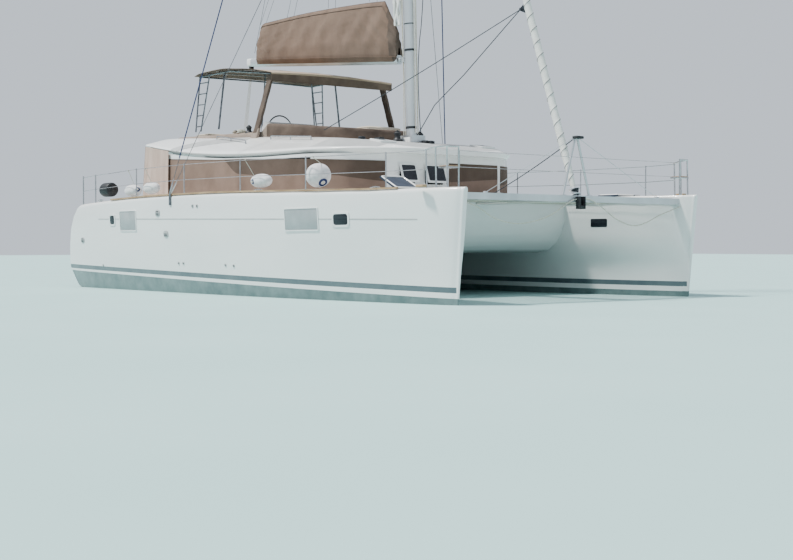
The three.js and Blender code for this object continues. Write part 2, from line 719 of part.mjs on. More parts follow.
function biminiFrame(carriers, canvas) {
  const parts = [];
  const under = (x) => read(BIMINI, x, 1) - 34;
  for (const s of [-1, 1]) {
    const legs = [[3120, 2110, 2060], [4830, 1580, 1530]];
    parts.push(loft(legs.map(([z, out, into]) => [
      [-1115, s * out, z], [-1285, s * out, z], [-1285, s * into, z], [-1115, s * into, z],
    ])));
    parts.push(bar([-3100, s * 1780, 3560], [-3100, s * 1590, under(-3100)], 22, 8));
    parts.push(bar([-2800, s * 800, 3308], [-2800, s * 660, under(-2800) + 15], 16, 8));
    const rails = [[-3880, -3700], [-4090, -4140]];
    for (const [low, high] of rails) {
      parts.push(bar([low, s * 1800, 3560], [high, s * 1635, under(high) + 4], 17, 8));
    }
    for (let i = 0; i < 5; i += 1) {
      const t = 0.19 + i * 0.18;
      const y = s * mix(1800, 1635, t);
      const z = mix(3560, 5000, t);
      parts.push(bar([mix(-3880, -3700, t), y, z], [mix(-4090, -4140, t), y, z], 14, 6));
    }
    parts.push(run([[-1200, s * 1560, under(-1200)], [-2800, s * 1600, under(-2800)],
      [-4150, s * 1640, under(-4150)]], 18, 8));
  }
  for (const x of [-1200, -2800, -4150]) {
    const w = mix(1560, 1640, (-1200 - x) / 2950);
    parts.push(run([[x, -w, under(x)], [x, 0, under(x) + 20], [x, w, under(x)]], 18, 8));
  }
  return seat(seat(join(parts), carriers), [canvas], [[0, 0, -GAP]]);
}

// Boom with the sail lying on it in its zipped bag
const GOOSENECK_PIN = 13;
const BOOM_PIVOT = [1570, 0, 4990];
const BOOM_END = [-4510, 0, 5543];

function boomAt(x) {
  return mix(BOOM_PIVOT[2], BOOM_END[2], (BOOM_PIVOT[0] - x) / (BOOM_PIVOT[0] - BOOM_END[0]));
}

function boomRing(x, w, h, grow = 0) {
  const z = boomAt(x);
  const a = w / 2 + grow;
  const b = h / 2 + grow;
  return [
    [x, -a, z - b * 0.6], [x, -a * 0.6, z - b], [x, a * 0.6, z - b], [x, a, z - b * 0.6],
    [x, a, z + b * 0.6], [x, a * 0.6, z + b], [x, -a * 0.6, z + b], [x, -a, z + b * 0.6],
  ];
}

function boom() {
  const spar = loft([[1400, 150, 200], [BOOM_END[0] + 80, 150, 200], [BOOM_END[0], 130, 170]].map(
    ([x, w, h]) => boomRing(x, w, h)));
  const [x, , z] = BOOM_PIVOT;
  const tongue = join([
    bar([1480, 0, boomAt(1480)], [1380, 0, boomAt(1380)], 45, 10),
    box(1440, x, -20, 20, z - 35, z + 35),
    bar([x, 0, z - 38], [x, 0, z + 38], 30, 16),
  ]);
  return join([spar, tongue.subtract(bar([x, 0, z - 60], [x, 0, z + 60], GOOSENECK_PIN + 0.6, 16))]);
}

// Columns: station, height of the bag above the boom's middle, half width low and high
const BAG = [
  [1400, 600, 90, 40],
  [980, 1270, 200, 70],
  [0, 1240, 215, 80],
  [-2000, 1120, 200, 75],
  [-4080, 930, 160, 60],
  [-4190, 890, 120, 40],
];

function sailBag() {
  const rings = BAG.map(([x, high, low, top]) => {
    const z = boomAt(x);
    const half = [
      [low * 0.55, z - 60], [low, z + 60], [low * 1.05, z + high * 0.3], [mix(low, top, 0.45), z + high * 0.65],
      [top, z + high * 0.92], [top * 0.4, z + high],
    ];
    const lean = (pz) => x + (pz - z) * mix(-0.07, 0.11, (BAG[1][0] - x) / (BAG[1][0] - BAG[4][0]));
    return [
      ...half.map(([y, pz]) => [lean(pz), y, pz]),
      ...[...half].reverse().map(([y, pz]) => [lean(pz), -y, pz]),
    ];
  });
  const hollow = loft([[1500, 150, 200], [-4700, 150, 200]].map(([x, w, h]) => boomRing(x, w, h, GAP)));
  const open = loft([[1500, 190, 60], [-4700, 190, 60]].map(([x, w, h]) => {
    const z = boomAt(x) - 90;
    return [[x, -w / 2, z - h], [x, w / 2, z - h], [x, w / 2, z + h], [x, -w / 2, z + h]];
  }));
  return loft(rings).subtract(hollow).subtract(open);
}

// Drive legs, propellers, rudders and engines, drawn on the port side
const SHAFT_Z = -760;
const LEG_X = -4450;
const PROP_X = -4790;

function saildrive(hull) {
  const y = RUDDER_Y;
  const ring = (z, chord, thick, x) => [
    [x + chord * 0.5, y, z], [x + chord * 0.2, y + thick, z], [x - chord * 0.25, y + thick * 0.8, z],
    [x - chord * 0.5, y, z], [x - chord * 0.25, y - thick * 0.8, z], [x + chord * 0.2, y - thick, z],
  ];
  const strut = loft([ring(SHAFT_Z, 190, 45, LEG_X), ring(-240, 230, 50, LEG_X + 20)]);
  const pod = bar([LEG_X + 210, y, SHAFT_Z], [PROP_X + 62, y, SHAFT_Z], 45, 12, 62);
  return seat(join([strut, pod]), [hull], [[0, 0, -GAP]]);
}

function propeller() {
  const y = RUDDER_Y;
  const hub = bar([PROP_X + 61.4, y, SHAFT_Z], [PROP_X - 75, y, SHAFT_Z], 55, 14, 34);
  const blades = [];
  for (let i = 0; i < 3; i += 1) {
    const a = (i / 3) * Math.PI * 2;
    const blade = new THREE.BoxGeometry(16, 120, 190);
    blade.rotateZ(0.6);
    blade.translate(0, 0, 130);
    blade.rotateX(a);
    blade.translate(PROP_X, y, SHAFT_Z);
    blades.push(solid(blade));
  }
  return join([hub, ...blades]);
}

function rudder(hull) {
  const y = RUDDER_Y;
  const ring = (z, front, back, thick) => {
    const chord = front - back;
    return [
      [front, y, z], [front - chord * 0.12, y + thick * 0.8, z], [front - chord * 0.35, y + thick, z],
      [back, y + 4, z], [back, y - 4, z], [front - chord * 0.35, y - thick, z],
      [front - chord * 0.12, y - thick * 0.8, z],
    ];
  };
  const top = -265;
  const blade = loft([
    ring(-1080, RUDDER_X + 60, RUDDER_X - 330, 26), ring(-700, RUDDER_X + 120, RUDDER_X - 400, 38),
    ring(top, RUDDER_X + 150, RUDDER_X - 430, 42),
  ]);
  const stock = bar([RUDDER_X, y, -500], [RUDDER_X, y, 80], STOCK_RADIUS, 24);
  return join([blade, stock]);
}

function engineBlock() {
  return box(-4830, -4140, 2900, 3400, ENGINE_BAY.sole + GAP, 1000);
}

const LID_HINGE = { x: -4030, z: 2075 };

function engineLid() {
  return box(-4960, LID_HINGE.x, 2800, 3500, 2052.6, LID_HINGE.z + 9);
}

const HATCH = { x: 5240, y0: 2650, y1: 3200, z: 2030, long: 520, thick: 34, open: 26 };

function deckHatch(hinged) {
  const { x, y0, y1, z, long, thick } = HATCH;
  const barrels = [[y0 + 50, y0 + 130], [y1 - 130, y1 - 50]].map(
    ([a, b]) => bar([x, a, z], [x, b, z], 8.1, 12));
  const panel = join([box(x - long, x, y0, y1, z, z + thick), ...barrels]);
  return panel.translate([-x, 0, -z]).rotate([0, hinged, 0]).translate([x, 0, z]);
}

function helmWheel() {
  const { x, y, z, radius } = WHEEL;
  const rim = new THREE.TorusGeometry(radius, 16, 8, 36);
  rim.rotateY(Math.PI / 2);
  rim.translate(x, y, z);
  const spokes = [0, 1, 2].map((i) => {
    const a = (i / 3) * Math.PI * 2 + Math.PI / 6;
    return bar([x, y, z], [x, y + Math.cos(a) * (radius - 4), z + Math.sin(a) * (radius - 4)], 9, 6);
  });
  const hub = bar([x - 22, y, z], [-2230.6, y, z], 40, 12);
  return join([solid(rim), ...spokes, hub]);
}

function slidingDoor() {
  return box(DOOR.x - DOOR.thick, DOOR.x, DOOR.y0, DOOR.y1, DOOR.low, DOOR.high - 90);
}

function cockpitSeats(carriers) {
  const z = FLOOR_Z + GAP;
  const parts = [
    box(-5350, -4750, -1300, 1900, z, 1680),
    box(-4760, -2900, 1500, 2110, z, 1680),
    box(-4500, -3300, 300, 1150, z, z + 30),
    box(-4500, -3300, 300, 1510, z, z + 24),
    box(-4000, -3800, 650, 800, z, 1920),
    box(-4500, -3300, 300, 1150, 1920, 1960),
  ];
  return seat(join(parts), carriers, [[0, 0, 0]]);
}

function saloonSeats() {
  const z = FLOOR_Z + GAP;
  return join([
    box(-1900, 1900, 1450, 2140, z, 1690),
    box(1300, 2480, -1500, 1500, z, 1690),
    box(-200, 1320, -300, 1460, z, z + 24),
    box(400, 600, 450, 600, z, 1950),
    box(-100, 1100, 200, 900, 1950, 1985),
    box(-1900, 1310, -2140, -1500, z, 2100),
  ]);
}

// Mooring bridle: two slack lines from the bows to the middle of the fore beam.
const BRIDLE_RADIUS = 9;
const BRIDLE_X = FORE_BEAM.x1 + 22;
const BRIDLE_STARBOARD = [
  [-2915, 1800], [-2535, 1690], [-2160, 1509], [-1650, 1417], [-1150, 1467], [-710, 1598], [-260, 1830],
  [-75.4, 1880],
];
const BRIDLE_PORT = [
  [75.4, 1885], [290, 1875], [590, 1748], [1000, 1526], [1460, 1406], [1840, 1458], [2280, 1619],
  [2915, 1800],
];

function cord(points, radius, steps, hull, roller, side) {
  const curve = new THREE.CatmullRomCurve3(points.map(([y, z]) => new THREE.Vector3(BRIDLE_X, y, z)));
  const round = new THREE.Shape();
  round.absarc(0, 0, radius, 0, Math.PI * 2);
  const line = solid(new THREE.ExtrudeGeometry(round, {
    steps, curveSegments: 8, extrudePath: curve, bevelEnabled: false,
  }));
  return seat(seat(line, [hull], [[0, -side * GAP, 0]]), [roller], [[0, side * GAP, 0]]);
}

// Fenders hung inside the starboard rail, each on a lanyard from the upper wire.
const FENDERS = [
  { name: 'fender_a', x: 1590, y: -3660, z: 2300, long: 620, radius: 135, eye: -240, tie: -330 },
  { name: 'fender_b', x: 3210, y: -3440, z: 2350, long: 460, radius: 228, eye: 120, tie: 200 },
  { name: 'fender_c', x: -3650, y: -3690, z: 2260, long: 600, radius: 135, eye: 60, tie: 60 },
  { name: 'fender_d', x: -2790, y: -3690, z: 2290, long: 580, radius: 130, eye: 0, tie: 0 },
];

// The lanyard runs from inside the fender, eye away from its middle, to the wire, tie away.
function hungFender({ x, y, z, long, radius, eye, tie }) {
  const [wireY, wireZ] = wireAt(x + tie, UPPER_WIRE);
  const reach = Math.hypot(-wireY - y, wireZ - z);
  const t = (reach - WIRE_RADIUS - 0.6) / reach;
  const end = [x + tie, mix(y, -wireY, t), mix(z, wireZ, t)];
  return join([fender(x, y, z, long, radius), bar([x + eye, y, z], end, 5, 8)]);
}

function fender(x, y, z, long, radius) {
  const profile = [
    [0, -long / 2], [radius * 0.55, -long / 2 + radius * 0.12], [radius * 0.92, -long / 2 + radius * 0.5],
    [radius, -long / 2 + radius], [radius, long / 2 - radius], [radius * 0.92, long / 2 - radius * 0.5],
    [radius * 0.55, long / 2 - radius * 0.12], [0, long / 2],
  ];
  const geometry = new THREE.LatheGeometry(profile.map(([a, b]) => new THREE.Vector2(a, b)), 14);
  geometry.rotateZ(Math.PI / 2);
  geometry.translate(x, y, z);
  return solid(geometry);
}

// Build everything
const portHull = hullPort();
const starboardHull = mirrored(portHull);
const hulls = [portHull, starboardHull];
const deck = bridgeDeck(hulls);
const roof = roofBody();
const under = roofUnder();
const wallCarriers = [portHull, deck];
const portWall = sideWall(wallCarriers, under);
const coaming = flybridgeCoaming(roof);
const flySeats = flybridgeSeats();
const beam = foreBeam(hulls);

const boat = new THREE.Group();
boat.name = 'catamaran';
const put = (name, body, look) => boat.add(meshOf(name, body, look));

put('hull_port', portHull, WHITE);
put('hull_starboard', starboardHull, WHITE);
put('bridge_deck', deck, WHITE);
put('deckhouse_side_port', portWall, DECK_WHITE);
put('deckhouse_side_starboard', mirrored(portWall), DECK_WHITE);
put('deckhouse_front', frontWall([deck], under), DECK_WHITE);
put('deckhouse_bulkhead', aftBulkhead([portHull, starboardHull, portWall, mirrored(portWall)], under), WHITE);
put('coachroof', roof, WHITE);
put('flybridge_coaming', coaming, BROWN);
put('flybridge_seats', flySeats, BEIGE);
put('helm_console', helmConsole(), WHITE);
put('cockpit_seats', cockpitSeats([]), BEIGE);
put('saloon_furniture', saloonSeats(), BEIGE);
put('fore_beam', beam, ALUMINIUM);
put('walkway', walkway(), DECK_WHITE);
put('bow_roller', bowRoller(), DARK);
const portNet = net(portHull);
put('net_port', portNet, CANVAS_WHITE);
put('net_starboard', mirrored(portNet), CANVAS_WHITE);
put('beam_strut', striker(), STEEL);
put('mast', mast(roof), ALUMINIUM);
const portShrouds = shrouds(portHull);
put('shrouds_port', portShrouds, STEEL);
put('shrouds_starboard', mirrored(portShrouds), STEEL);
put('furled_foresail', genoa(beam), CANVAS_WHITE);
const portRail = railBody(portHull);
put('rail_port', portRail, STEEL);
put('rail_starboard', mirrored(portRail), STEEL);
put('bow_wires', bowWires(), STEEL);
const portToe = toeRail(portHull);
put('toe_rail_port', portToe, TEAK);
put('toe_rail_starboard', mirrored(portToe), TEAK);
put('sun_roof', biminiTop(), BEIGE);
put('sun_roof_frame', biminiFrame([roof, coaming, flySeats], biminiTop()), STEEL);
put('boom', boom(), ALUMINIUM);
put('sail_bag', sailBag(), TAUPE);
const portDrive = saildrive(portHull);
put('saildrive_port', portDrive, ENGINE_GREY);
put('saildrive_starboard', mirrored(portDrive), ENGINE_GREY);
put('propeller_port', propeller(), BRONZE);
put('propeller_starboard', mirrored(propeller()), BRONZE);
put('rudder_port', rudder(), GREY);
put('rudder_starboard', mirrored(rudder()), GREY);
put('engine_port', engineBlock(), ENGINE_GREY);
put('engine_starboard', mirrored(engineBlock()), ENGINE_GREY);
put('helm_wheel', helmWheel(), STEEL);
put('saloon_door', slidingDoor(), GLASS);
put('deck_hatch_port', deckHatch(0), GLASS);
put('deck_hatch_starboard', mirrored(deckHatch(26)), GLASS);
put('glass_side_port', glassSide(), GLASS);
put('glass_side_starboard', mirrored(glassSide()), GLASS);
put('glass_front', glassFront(), GLASS);
put('cover_side_port', coverSide(), BROWN);
put('cover_side_starboard', mirrored(coverSide()), BROWN);
put('cover_front', coverFront(), BROWN);
put('engine_lid_port', engineLid(), DECK_WHITE);
put('engine_lid_starboard', mirrored(engineLid()), DECK_WHITE);
const roller = bowRoller();
put('bridle_port', cord(BRIDLE_PORT, BRIDLE_RADIUS, 24, portHull, roller, 1), CANVAS_WHITE);
put('bridle_starboard', cord(BRIDLE_STARBOARD, BRIDLE_RADIUS, 24, starboardHull, roller, -1), CANVAS_WHITE);
for (const row of FENDERS) put(row.name, hungFender(row), CANVAS_WHITE);

export default boat;
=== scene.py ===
# %% [markdown]
# # Dressing a sailing catamaran in Blender
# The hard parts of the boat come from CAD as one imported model, and that model is the frame here.
# This lesson builds what the CAD solids leave plain: smooth hulls, cloth, rope, glass and trim.
# Everything is in metres. +X points forward, +Y to port and +Z up. The water lies at z = 0.

import math

import bmesh
import bpy
import numpy as np
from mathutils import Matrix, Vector
from mathutils.bvhtree import BVHTree


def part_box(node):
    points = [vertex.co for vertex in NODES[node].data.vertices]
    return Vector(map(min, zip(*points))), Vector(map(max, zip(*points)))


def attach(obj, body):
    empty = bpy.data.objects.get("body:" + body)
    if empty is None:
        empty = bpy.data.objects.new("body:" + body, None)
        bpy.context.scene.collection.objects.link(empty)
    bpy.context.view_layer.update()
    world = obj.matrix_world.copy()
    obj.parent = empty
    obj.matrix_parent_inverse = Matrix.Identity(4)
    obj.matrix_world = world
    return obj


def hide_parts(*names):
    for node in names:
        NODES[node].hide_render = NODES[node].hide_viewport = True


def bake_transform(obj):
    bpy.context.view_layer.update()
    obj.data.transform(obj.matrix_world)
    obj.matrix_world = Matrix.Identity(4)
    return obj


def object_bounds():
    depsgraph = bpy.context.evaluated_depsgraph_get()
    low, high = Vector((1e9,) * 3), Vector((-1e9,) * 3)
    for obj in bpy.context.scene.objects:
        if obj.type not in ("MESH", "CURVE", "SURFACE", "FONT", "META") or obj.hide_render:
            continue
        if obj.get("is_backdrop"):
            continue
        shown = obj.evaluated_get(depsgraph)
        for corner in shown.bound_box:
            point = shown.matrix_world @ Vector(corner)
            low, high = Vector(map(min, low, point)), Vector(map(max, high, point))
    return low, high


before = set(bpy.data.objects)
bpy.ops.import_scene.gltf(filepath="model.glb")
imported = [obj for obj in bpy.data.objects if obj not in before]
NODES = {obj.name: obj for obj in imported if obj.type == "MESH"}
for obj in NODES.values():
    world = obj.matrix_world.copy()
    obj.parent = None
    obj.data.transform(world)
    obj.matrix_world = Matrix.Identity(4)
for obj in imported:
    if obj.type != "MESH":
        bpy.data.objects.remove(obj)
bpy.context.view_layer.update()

# %% [markdown]
# ## The camera
# The picture was taken off the starboard bow, with the eye only about a metre above the water. A
# camera is easiest to check when it is given as a place and a direction, so the direction is
# written as a heading across the water and a small dip below the horizon.

# %% Camera
EYE = Vector((24.32, -18.58, 1.07))
HEADING = Vector((-0.778, 0.628, 0.0)).normalized()
FOCAL_PIXELS, WIDTH_PIXELS, HORIZON_PIXELS = 1368, 793, 37
SENSOR_WIDTH = 36.0
DIP = math.atan(HORIZON_PIXELS / FOCAL_PIXELS)
camera_data = bpy.data.cameras.new("camera")
camera_data.sensor_width = SENSOR_WIDTH
camera_data.lens = FOCAL_PIXELS / WIDTH_PIXELS * SENSOR_WIDTH
camera_data.clip_end = 400.0
camera = bpy.data.objects.new("camera", camera_data)
bpy.context.scene.collection.objects.link(camera)
camera.location = EYE
look = HEADING * math.cos(DIP) + Vector((0, 0, -math.sin(DIP)))
camera.rotation_mode = "QUATERNION"
camera.rotation_quaternion = look.to_track_quat("-Z", "Y")
bpy.context.scene.camera = camera
print("lens", round(camera_data.lens, 2), "mm")

# %% [markdown]
# ## Small tools for making meshes
# Nearly every piece below is a skin through rings, a bar along a line or a plate with a rounded
# outline. Writing each of these once keeps the later cells short.

# %% Mesh tools
SIDES = {-1: "starboard", 1: "port"}


def piece(name, verts, faces, material, body="boat", smooth=38):
    """A named mesh that rides on a CAD body, smooth except at edges sharper than the angle."""
    mesh = bpy.data.meshes.new(name)
    mesh.from_pydata([tuple(v) for v in verts], [], [tuple(f) for f in faces])
    mesh.validate()
    thing = bpy.data.objects.new(name, mesh)
    bpy.context.scene.collection.objects.link(thing)
    bm = bmesh.new()
    bm.from_mesh(mesh)
    bmesh.ops.recalc_face_normals(bm, faces=bm.faces)
    bm.to_mesh(mesh)
    bm.free()
    if material:
        mesh.materials.append(material)
    shade(thing, smooth)
    if body:
        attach(thing, body)
    return thing


def shade(thing, angle):
    thing.data.shade_smooth()
    thing.data.set_sharp_from_angle(angle=math.radians(angle))


def mix(a, b, t):
    return a + (b - a) * t


def above(z):
    return Vector((0, 0, z))


def curve_rows(rows, steps):
    """Catmull-Rom rows between the given ones, so that a short table gives a smooth form."""
    rows = np.array(rows, float)
    padded = np.vstack([2 * rows[0] - rows[1], rows, 2 * rows[-1] - rows[-2]])
    out = []
    for i in range(1, len(padded) - 2):
        p0, p1, p2, p3 = padded[i - 1:i + 3]
        for k in range(steps):
            t = k / steps
            out.append(0.5 * (2 * p1 + (p2 - p0) * t + (2 * p0 - 5 * p1 + 4 * p2 - p3) * t * t
                              + (3 * p1 - p0 - 3 * p2 + p3) * t ** 3))
    out.append(rows[-1])
    return np.array(out)


def rounded(corners, radii, steps=4, closed=True):
    """A polygon whose corners are replaced by short curves. Every corner gives steps + 1 points."""
    pts = [np.array(c, float) for c in corners]
    count = len(pts)
    out = []
    for i in range(count):
        here = pts[i]
        if not closed and i in (0, count - 1):
            out.append(here)
            continue
        before, after = pts[i - 1] - here, pts[(i + 1) % count] - here
        cut = [min(radii[i], 0.45 * np.linalg.norm(v)) / max(np.linalg.norm(v), 1e-9)
               for v in (before, after)]
        a, b = here + before * cut[0], here + after * cut[1]
        for k in range(steps + 1):
            t = k / steps
            out.append(a * (1 - t) ** 2 + here * 2 * t * (1 - t) + b * t * t)
    return out


print("curves ready")

# %% [markdown]
# A skin joins rings of points into one surface. A tube is a skin through small circles, and a box
# is a skin through six rounded outlines. A hoop closes on itself, like a frame round an opening.

# %% Skins and tubes
def skin(rings, caps=True):
    """Vertices and faces of a skin through rings with the same number of points."""
    count = len(rings[0])
    verts = [tuple(p) for ring in rings for p in ring]
    faces = []
    for r in range(len(rings) - 1):
        for i in range(count):
            j = (i + 1) % count
            a, b = r * count, (r + 1) * count
            faces.append((a + i, a + j, b + j, b + i))
    if caps:
        faces.append(tuple(range(count)))
        faces.append(tuple((len(rings) - 1) * count + i for i in range(count)))
    return verts, faces


def hoop(rings):
    """A skin through rings whose last one is joined to the first one again."""
    verts, faces = skin(rings, caps=False)
    count = len(rings[0])
    last = (len(rings) - 1) * count
    faces += [(i, (i + 1) % count, last + (i + 1) % count, last + i) for i in range(count)]
    return verts, faces


def tube_rings(points, radius, sides=8, squash=1.0):
    """Rings of a tube along a line of points. radius may be one number or one per point."""
    line = [Vector(p) for p in points]
    sizes = [radius] * len(line) if np.isscalar(radius) else radius
    rings, side = [], None
    for i, p in enumerate(line):
        ahead = (line[min(i + 1, len(line) - 1)] - line[max(i - 1, 0)]).normalized()
        if side is None:
            up = above(1) if abs(ahead.z) < 0.9 else Vector((1, 0, 0))
            side = ahead.cross(up).normalized()
        side = (side - ahead * side.dot(ahead)).normalized()
        lift = side.cross(ahead)
        ring = []
        for k in range(sides):
            a = 2 * math.pi * k / sides
            ring.append(p + side * math.cos(a) * sizes[i] + lift * math.sin(a) * sizes[i] * squash)
        rings.append(ring)
    return rings


def bar(points, radius, sides=8, squash=1.0):
    return skin(tube_rings(points, radius, sides, squash))


def tube(name, points, radius, material, body="boat", sides=8):
    return piece(name, *bar(points, radius, sides), material, body)


def joined(name, parts, material, body="boat", smooth=38):
    """One mesh from several (vertices, faces) pairs."""
    verts, faces = [], []
    for v, f in parts:
        faces += [tuple(i + len(verts) for i in face) for face in f]
        verts += [tuple(p) for p in v]
    return piece(name, verts, faces, material, body, smooth)


def part(name, parts, material, body="boat", smooth=38):
    """A joined mesh with its slot for materials."""
    return joined(name, parts, material, body, smooth)


def box_part(x0, x1, y0, y1, z0, z1, edge=0.01):
    """A block with rounded upright corners and a softened rim, as (vertices, faces)."""
    def ring(shrink, z):
        a, b, c, d = x0 + shrink, x1 - shrink, y0 + shrink, y1 - shrink
        corners = [(a, c), (b, c), (b, d), (a, d)]
        return [(x, y, z) for x, y in rounded(corners, [edge * 1.6] * 4, 3)]
    s = min(edge, (z1 - z0) * 0.45)
    rings = [ring(s, z0), ring(s * 0.3, z0 + s * 0.3), ring(0, z0 + s), ring(0, z1 - s),
             ring(s * 0.3, z1 - s * 0.3), ring(s, z1)]
    return skin(rings)


print("skins ready")

# %% [markdown]
# Openings are cut with booleans. Where a piece shows two finishes, its faces are told apart by a
# simple test, such as which way they look or how far forward they lie.

# %% Cutting and two finishes
def second_finish(thing, material, test):
    """Gives one more finish to the faces that pass the test."""
    thing.data.materials.append(material)
    last = len(thing.data.materials) - 1
    for face in thing.data.polygons:
        if test(face):
            face.material_index = last


def cut_away(thing, cutters):
    """Takes closed meshes away from a piece with exact booleans and removes the cutters."""
    for cutter in cutters:
        step = thing.modifiers.new("cut", "BOOLEAN")
        step.operation = "DIFFERENCE"
        step.solver = "EXACT"
        step.object = cutter
    bpy.context.view_layer.update()
    result = bpy.data.meshes.new_from_object(
        thing.evaluated_get(bpy.context.evaluated_depsgraph_get()))
    thing.modifiers.clear()
    thing.data = result
    for cutter in cutters:
        bpy.data.objects.remove(cutter)
    return thing


def cutter_box(x0, x1, y0, y1, z0, z1):
    corners = [(x, y, z) for x in (x0, x1) for y in (y0, y1) for z in (z0, z1)]
    faces = [(0, 1, 3, 2), (4, 6, 7, 5), (0, 4, 5, 1), (2, 3, 7, 6), (0, 2, 6, 4), (1, 5, 7, 3)]
    return piece("cutter", corners, faces, None, None)


def cutter_prism(outline, y0, y1):
    rings = [[(x, y, z) for x, z in outline] for y in (y0, y1)]
    return piece("cutter", *skin(rings), None, None)


print("mesh tools ready")

# %% [markdown]
# ## Finishes
# Real surfaces are never one flat colour. Each finish starts from a Principled shader with its
# constants on the sockets, and then gets a cloud of slight colour change and a fine grain as bump.
# All textures read object coordinates in metres, so the grain has its real size on every piece.

# %% Tools for finishes
def finish(name, color, rough, metal=0.0, **sockets):
    made = bpy.data.materials.new(name)
    made.use_nodes = True
    shader = made.node_tree.nodes["Principled BSDF"]
    shader.inputs["Base Color"].default_value = (*color, 1)
    shader.inputs["Roughness"].default_value = rough
    shader.inputs["Metallic"].default_value = metal
    for key, value in sockets.items():
        shader.inputs[key.replace("_", " ")].default_value = value
    return made


def add(made, kind, **settings):
    node = made.node_tree.nodes.new(kind)
    for key, value in settings.items():
        setattr(node, key, value)
    return node


def join_up(made, out, into):
    made.node_tree.links.new(out, into)


def place_of(made, stretch=(1, 1, 1)):
    where = add(made, "ShaderNodeTexCoord")
    scale = add(made, "ShaderNodeMapping")
    scale.inputs["Scale"].default_value = stretch
    join_up(made, where.outputs["Object"], scale.inputs["Vector"])
    return scale.outputs["Vector"]


def noise(made, size, detail=3.0, stretch=(1, 1, 1)):
    node = add(made, "ShaderNodeTexNoise")
    node.inputs["Scale"].default_value = 1 / size
    node.inputs["Detail"].default_value = detail
    join_up(made, place_of(made, stretch), node.inputs["Vector"])
    return node.outputs["Fac"]


def ramp(made, value, stops):
    node = add(made, "ShaderNodeValToRGB")
    while len(node.color_ramp.elements) < len(stops):
        node.color_ramp.elements.new(0.5)
    for element, (at, color) in zip(node.color_ramp.elements, stops):
        element.position = at
        element.color = (*color, 1)
    join_up(made, value, node.inputs["Fac"])
    return node.outputs["Color"]


def sums(made, operation, a, b):
    node = add(made, "ShaderNodeMath", operation=operation)
    for socket, value in zip(node.inputs, (a, b)):
        if isinstance(value, (int, float)):
            socket.default_value = value
        else:
            join_up(made, value, socket)
    return node.outputs[0]


def clouds(made, dark, light, size, detail=3.0, stretch=(1, 1, 1)):
    """Slight change of colour over the surface, as sun, salt and handling leave it."""
    color = ramp(made, noise(made, size, detail, stretch), [(0.3, dark), (0.7, light)])
    join_up(made, color, made.node_tree.nodes["Principled BSDF"].inputs["Base Color"])
    return color


def grain(made, size, height, detail=2.0, stretch=(1, 1, 1), value=None):
    bump = add(made, "ShaderNodeBump")
    bump.inputs["Strength"].default_value = 0.6
    bump.inputs["Distance"].default_value = height
    source = noise(made, size, detail, stretch) if value is None else value
    join_up(made, source, bump.inputs["Height"])
    join_up(made, bump.outputs["Normal"], made.node_tree.nodes["Principled BSDF"].inputs["Normal"])
    return bump


def weave(made, size, height):
    """Crossing threads as the product of two fine waves."""
    bands = []
    for direction in ("X", "Z"):
        wave = add(made, "ShaderNodeTexWave", bands_direction=direction)
        wave.inputs["Scale"].default_value = 1 / size / 3
        wave.inputs["Distortion"].default_value = 0.4
        join_up(made, place_of(made), wave.inputs["Vector"])
        bands.append(wave.outputs["Fac"])
    halves = [sums(made, "MULTIPLY", band, 0.5) for band in bands]
    threads = sums(made, "ADD", *halves)
    folds = sums(made, "MULTIPLY", noise(made, 0.35, 2.0), 6.0)
    return grain(made, size, height, value=sums(made, "ADD", threads, folds))


print("finish tools ready")

# %% [markdown]
# ### The finishes by name
# The gelcoat is nearly white, very smooth and a little dulled by sun. The covers are woven from
# coarse plastic thread, so they stay matt. Polished steel only looks like steel with something
# pale around it to mirror, which the studio backdrop gives.

# %% Finishes
shiny_white = finish("shiny_white", (0.80, 0.81, 0.80), 0.22, Coat_Weight=0.35, Coat_Roughness=0.08)
clouds(shiny_white, (0.765, 0.775, 0.77), (0.82, 0.825, 0.815), 1.4, 4.0, (0.5, 1, 1.6))
grain(shiny_white, 0.8, 0.0025, 1.0)

deck_white = finish("deck_white", (0.72, 0.72, 0.69), 0.55)
clouds(deck_white, (0.66, 0.66, 0.63), (0.76, 0.76, 0.73), 0.7, 4.0)
grip = add(deck_white, "ShaderNodeTexVoronoi")
grip.inputs["Scale"].default_value = 160
join_up(deck_white, place_of(deck_white), grip.inputs["Vector"])
grain(deck_white, 0.01, 0.0012, value=grip.outputs["Distance"])

smoked_glass = finish("smoked_glass", (0.035, 0.04, 0.055), 0.06, IOR=1.5, Transmission_Weight=0.35)
clouds(smoked_glass, (0.03, 0.034, 0.046), (0.05, 0.055, 0.07), 0.5)
acrylic = finish("acrylic", (0.045, 0.055, 0.08), 0.3, Specular_IOR_Level=0.15)
clouds(acrylic, (0.035, 0.045, 0.065), (0.06, 0.075, 0.105), 0.25, 2.0)
pane_grey = finish("pane_grey", (0.42, 0.44, 0.45), 0.3, Coat_Weight=0.3)
clouds(pane_grey, (0.38, 0.40, 0.41), (0.47, 0.48, 0.49), 0.3, 3.0)

steel = finish("steel", (0.56, 0.57, 0.58), 0.2, 1.0)
clouds(steel, (0.47, 0.48, 0.49), (0.63, 0.64, 0.65), 0.12, 2.0)
grain(steel, 0.004, 0.0002)
alloy = finish("alloy", (0.62, 0.64, 0.66), 0.38, 0.75)
clouds(alloy, (0.55, 0.57, 0.59), (0.68, 0.70, 0.72), 0.5, 3.0, (1, 1, 0.3))
grain(alloy, 0.006, 0.0003)
# Dark steel for wire. The sun roof frame gets it too, painted dark as shade under the canvas.
dark_wire_and_shaded_frame = finish("dark_wire_and_shaded_frame", (0.2, 0.21, 0.22), 0.35, 0.8)
clouds(dark_wire_and_shaded_frame, (0.10, 0.11, 0.12), (0.28, 0.29, 0.31), 0.08, 2.0)

print("paint, glass and metal:", len(bpy.data.materials))

# %% [markdown]
# Teak has its grain along the boat, so its noise is stretched along x. The parts below the water
# are dull, because the floor of this scene hides nearly all of them.

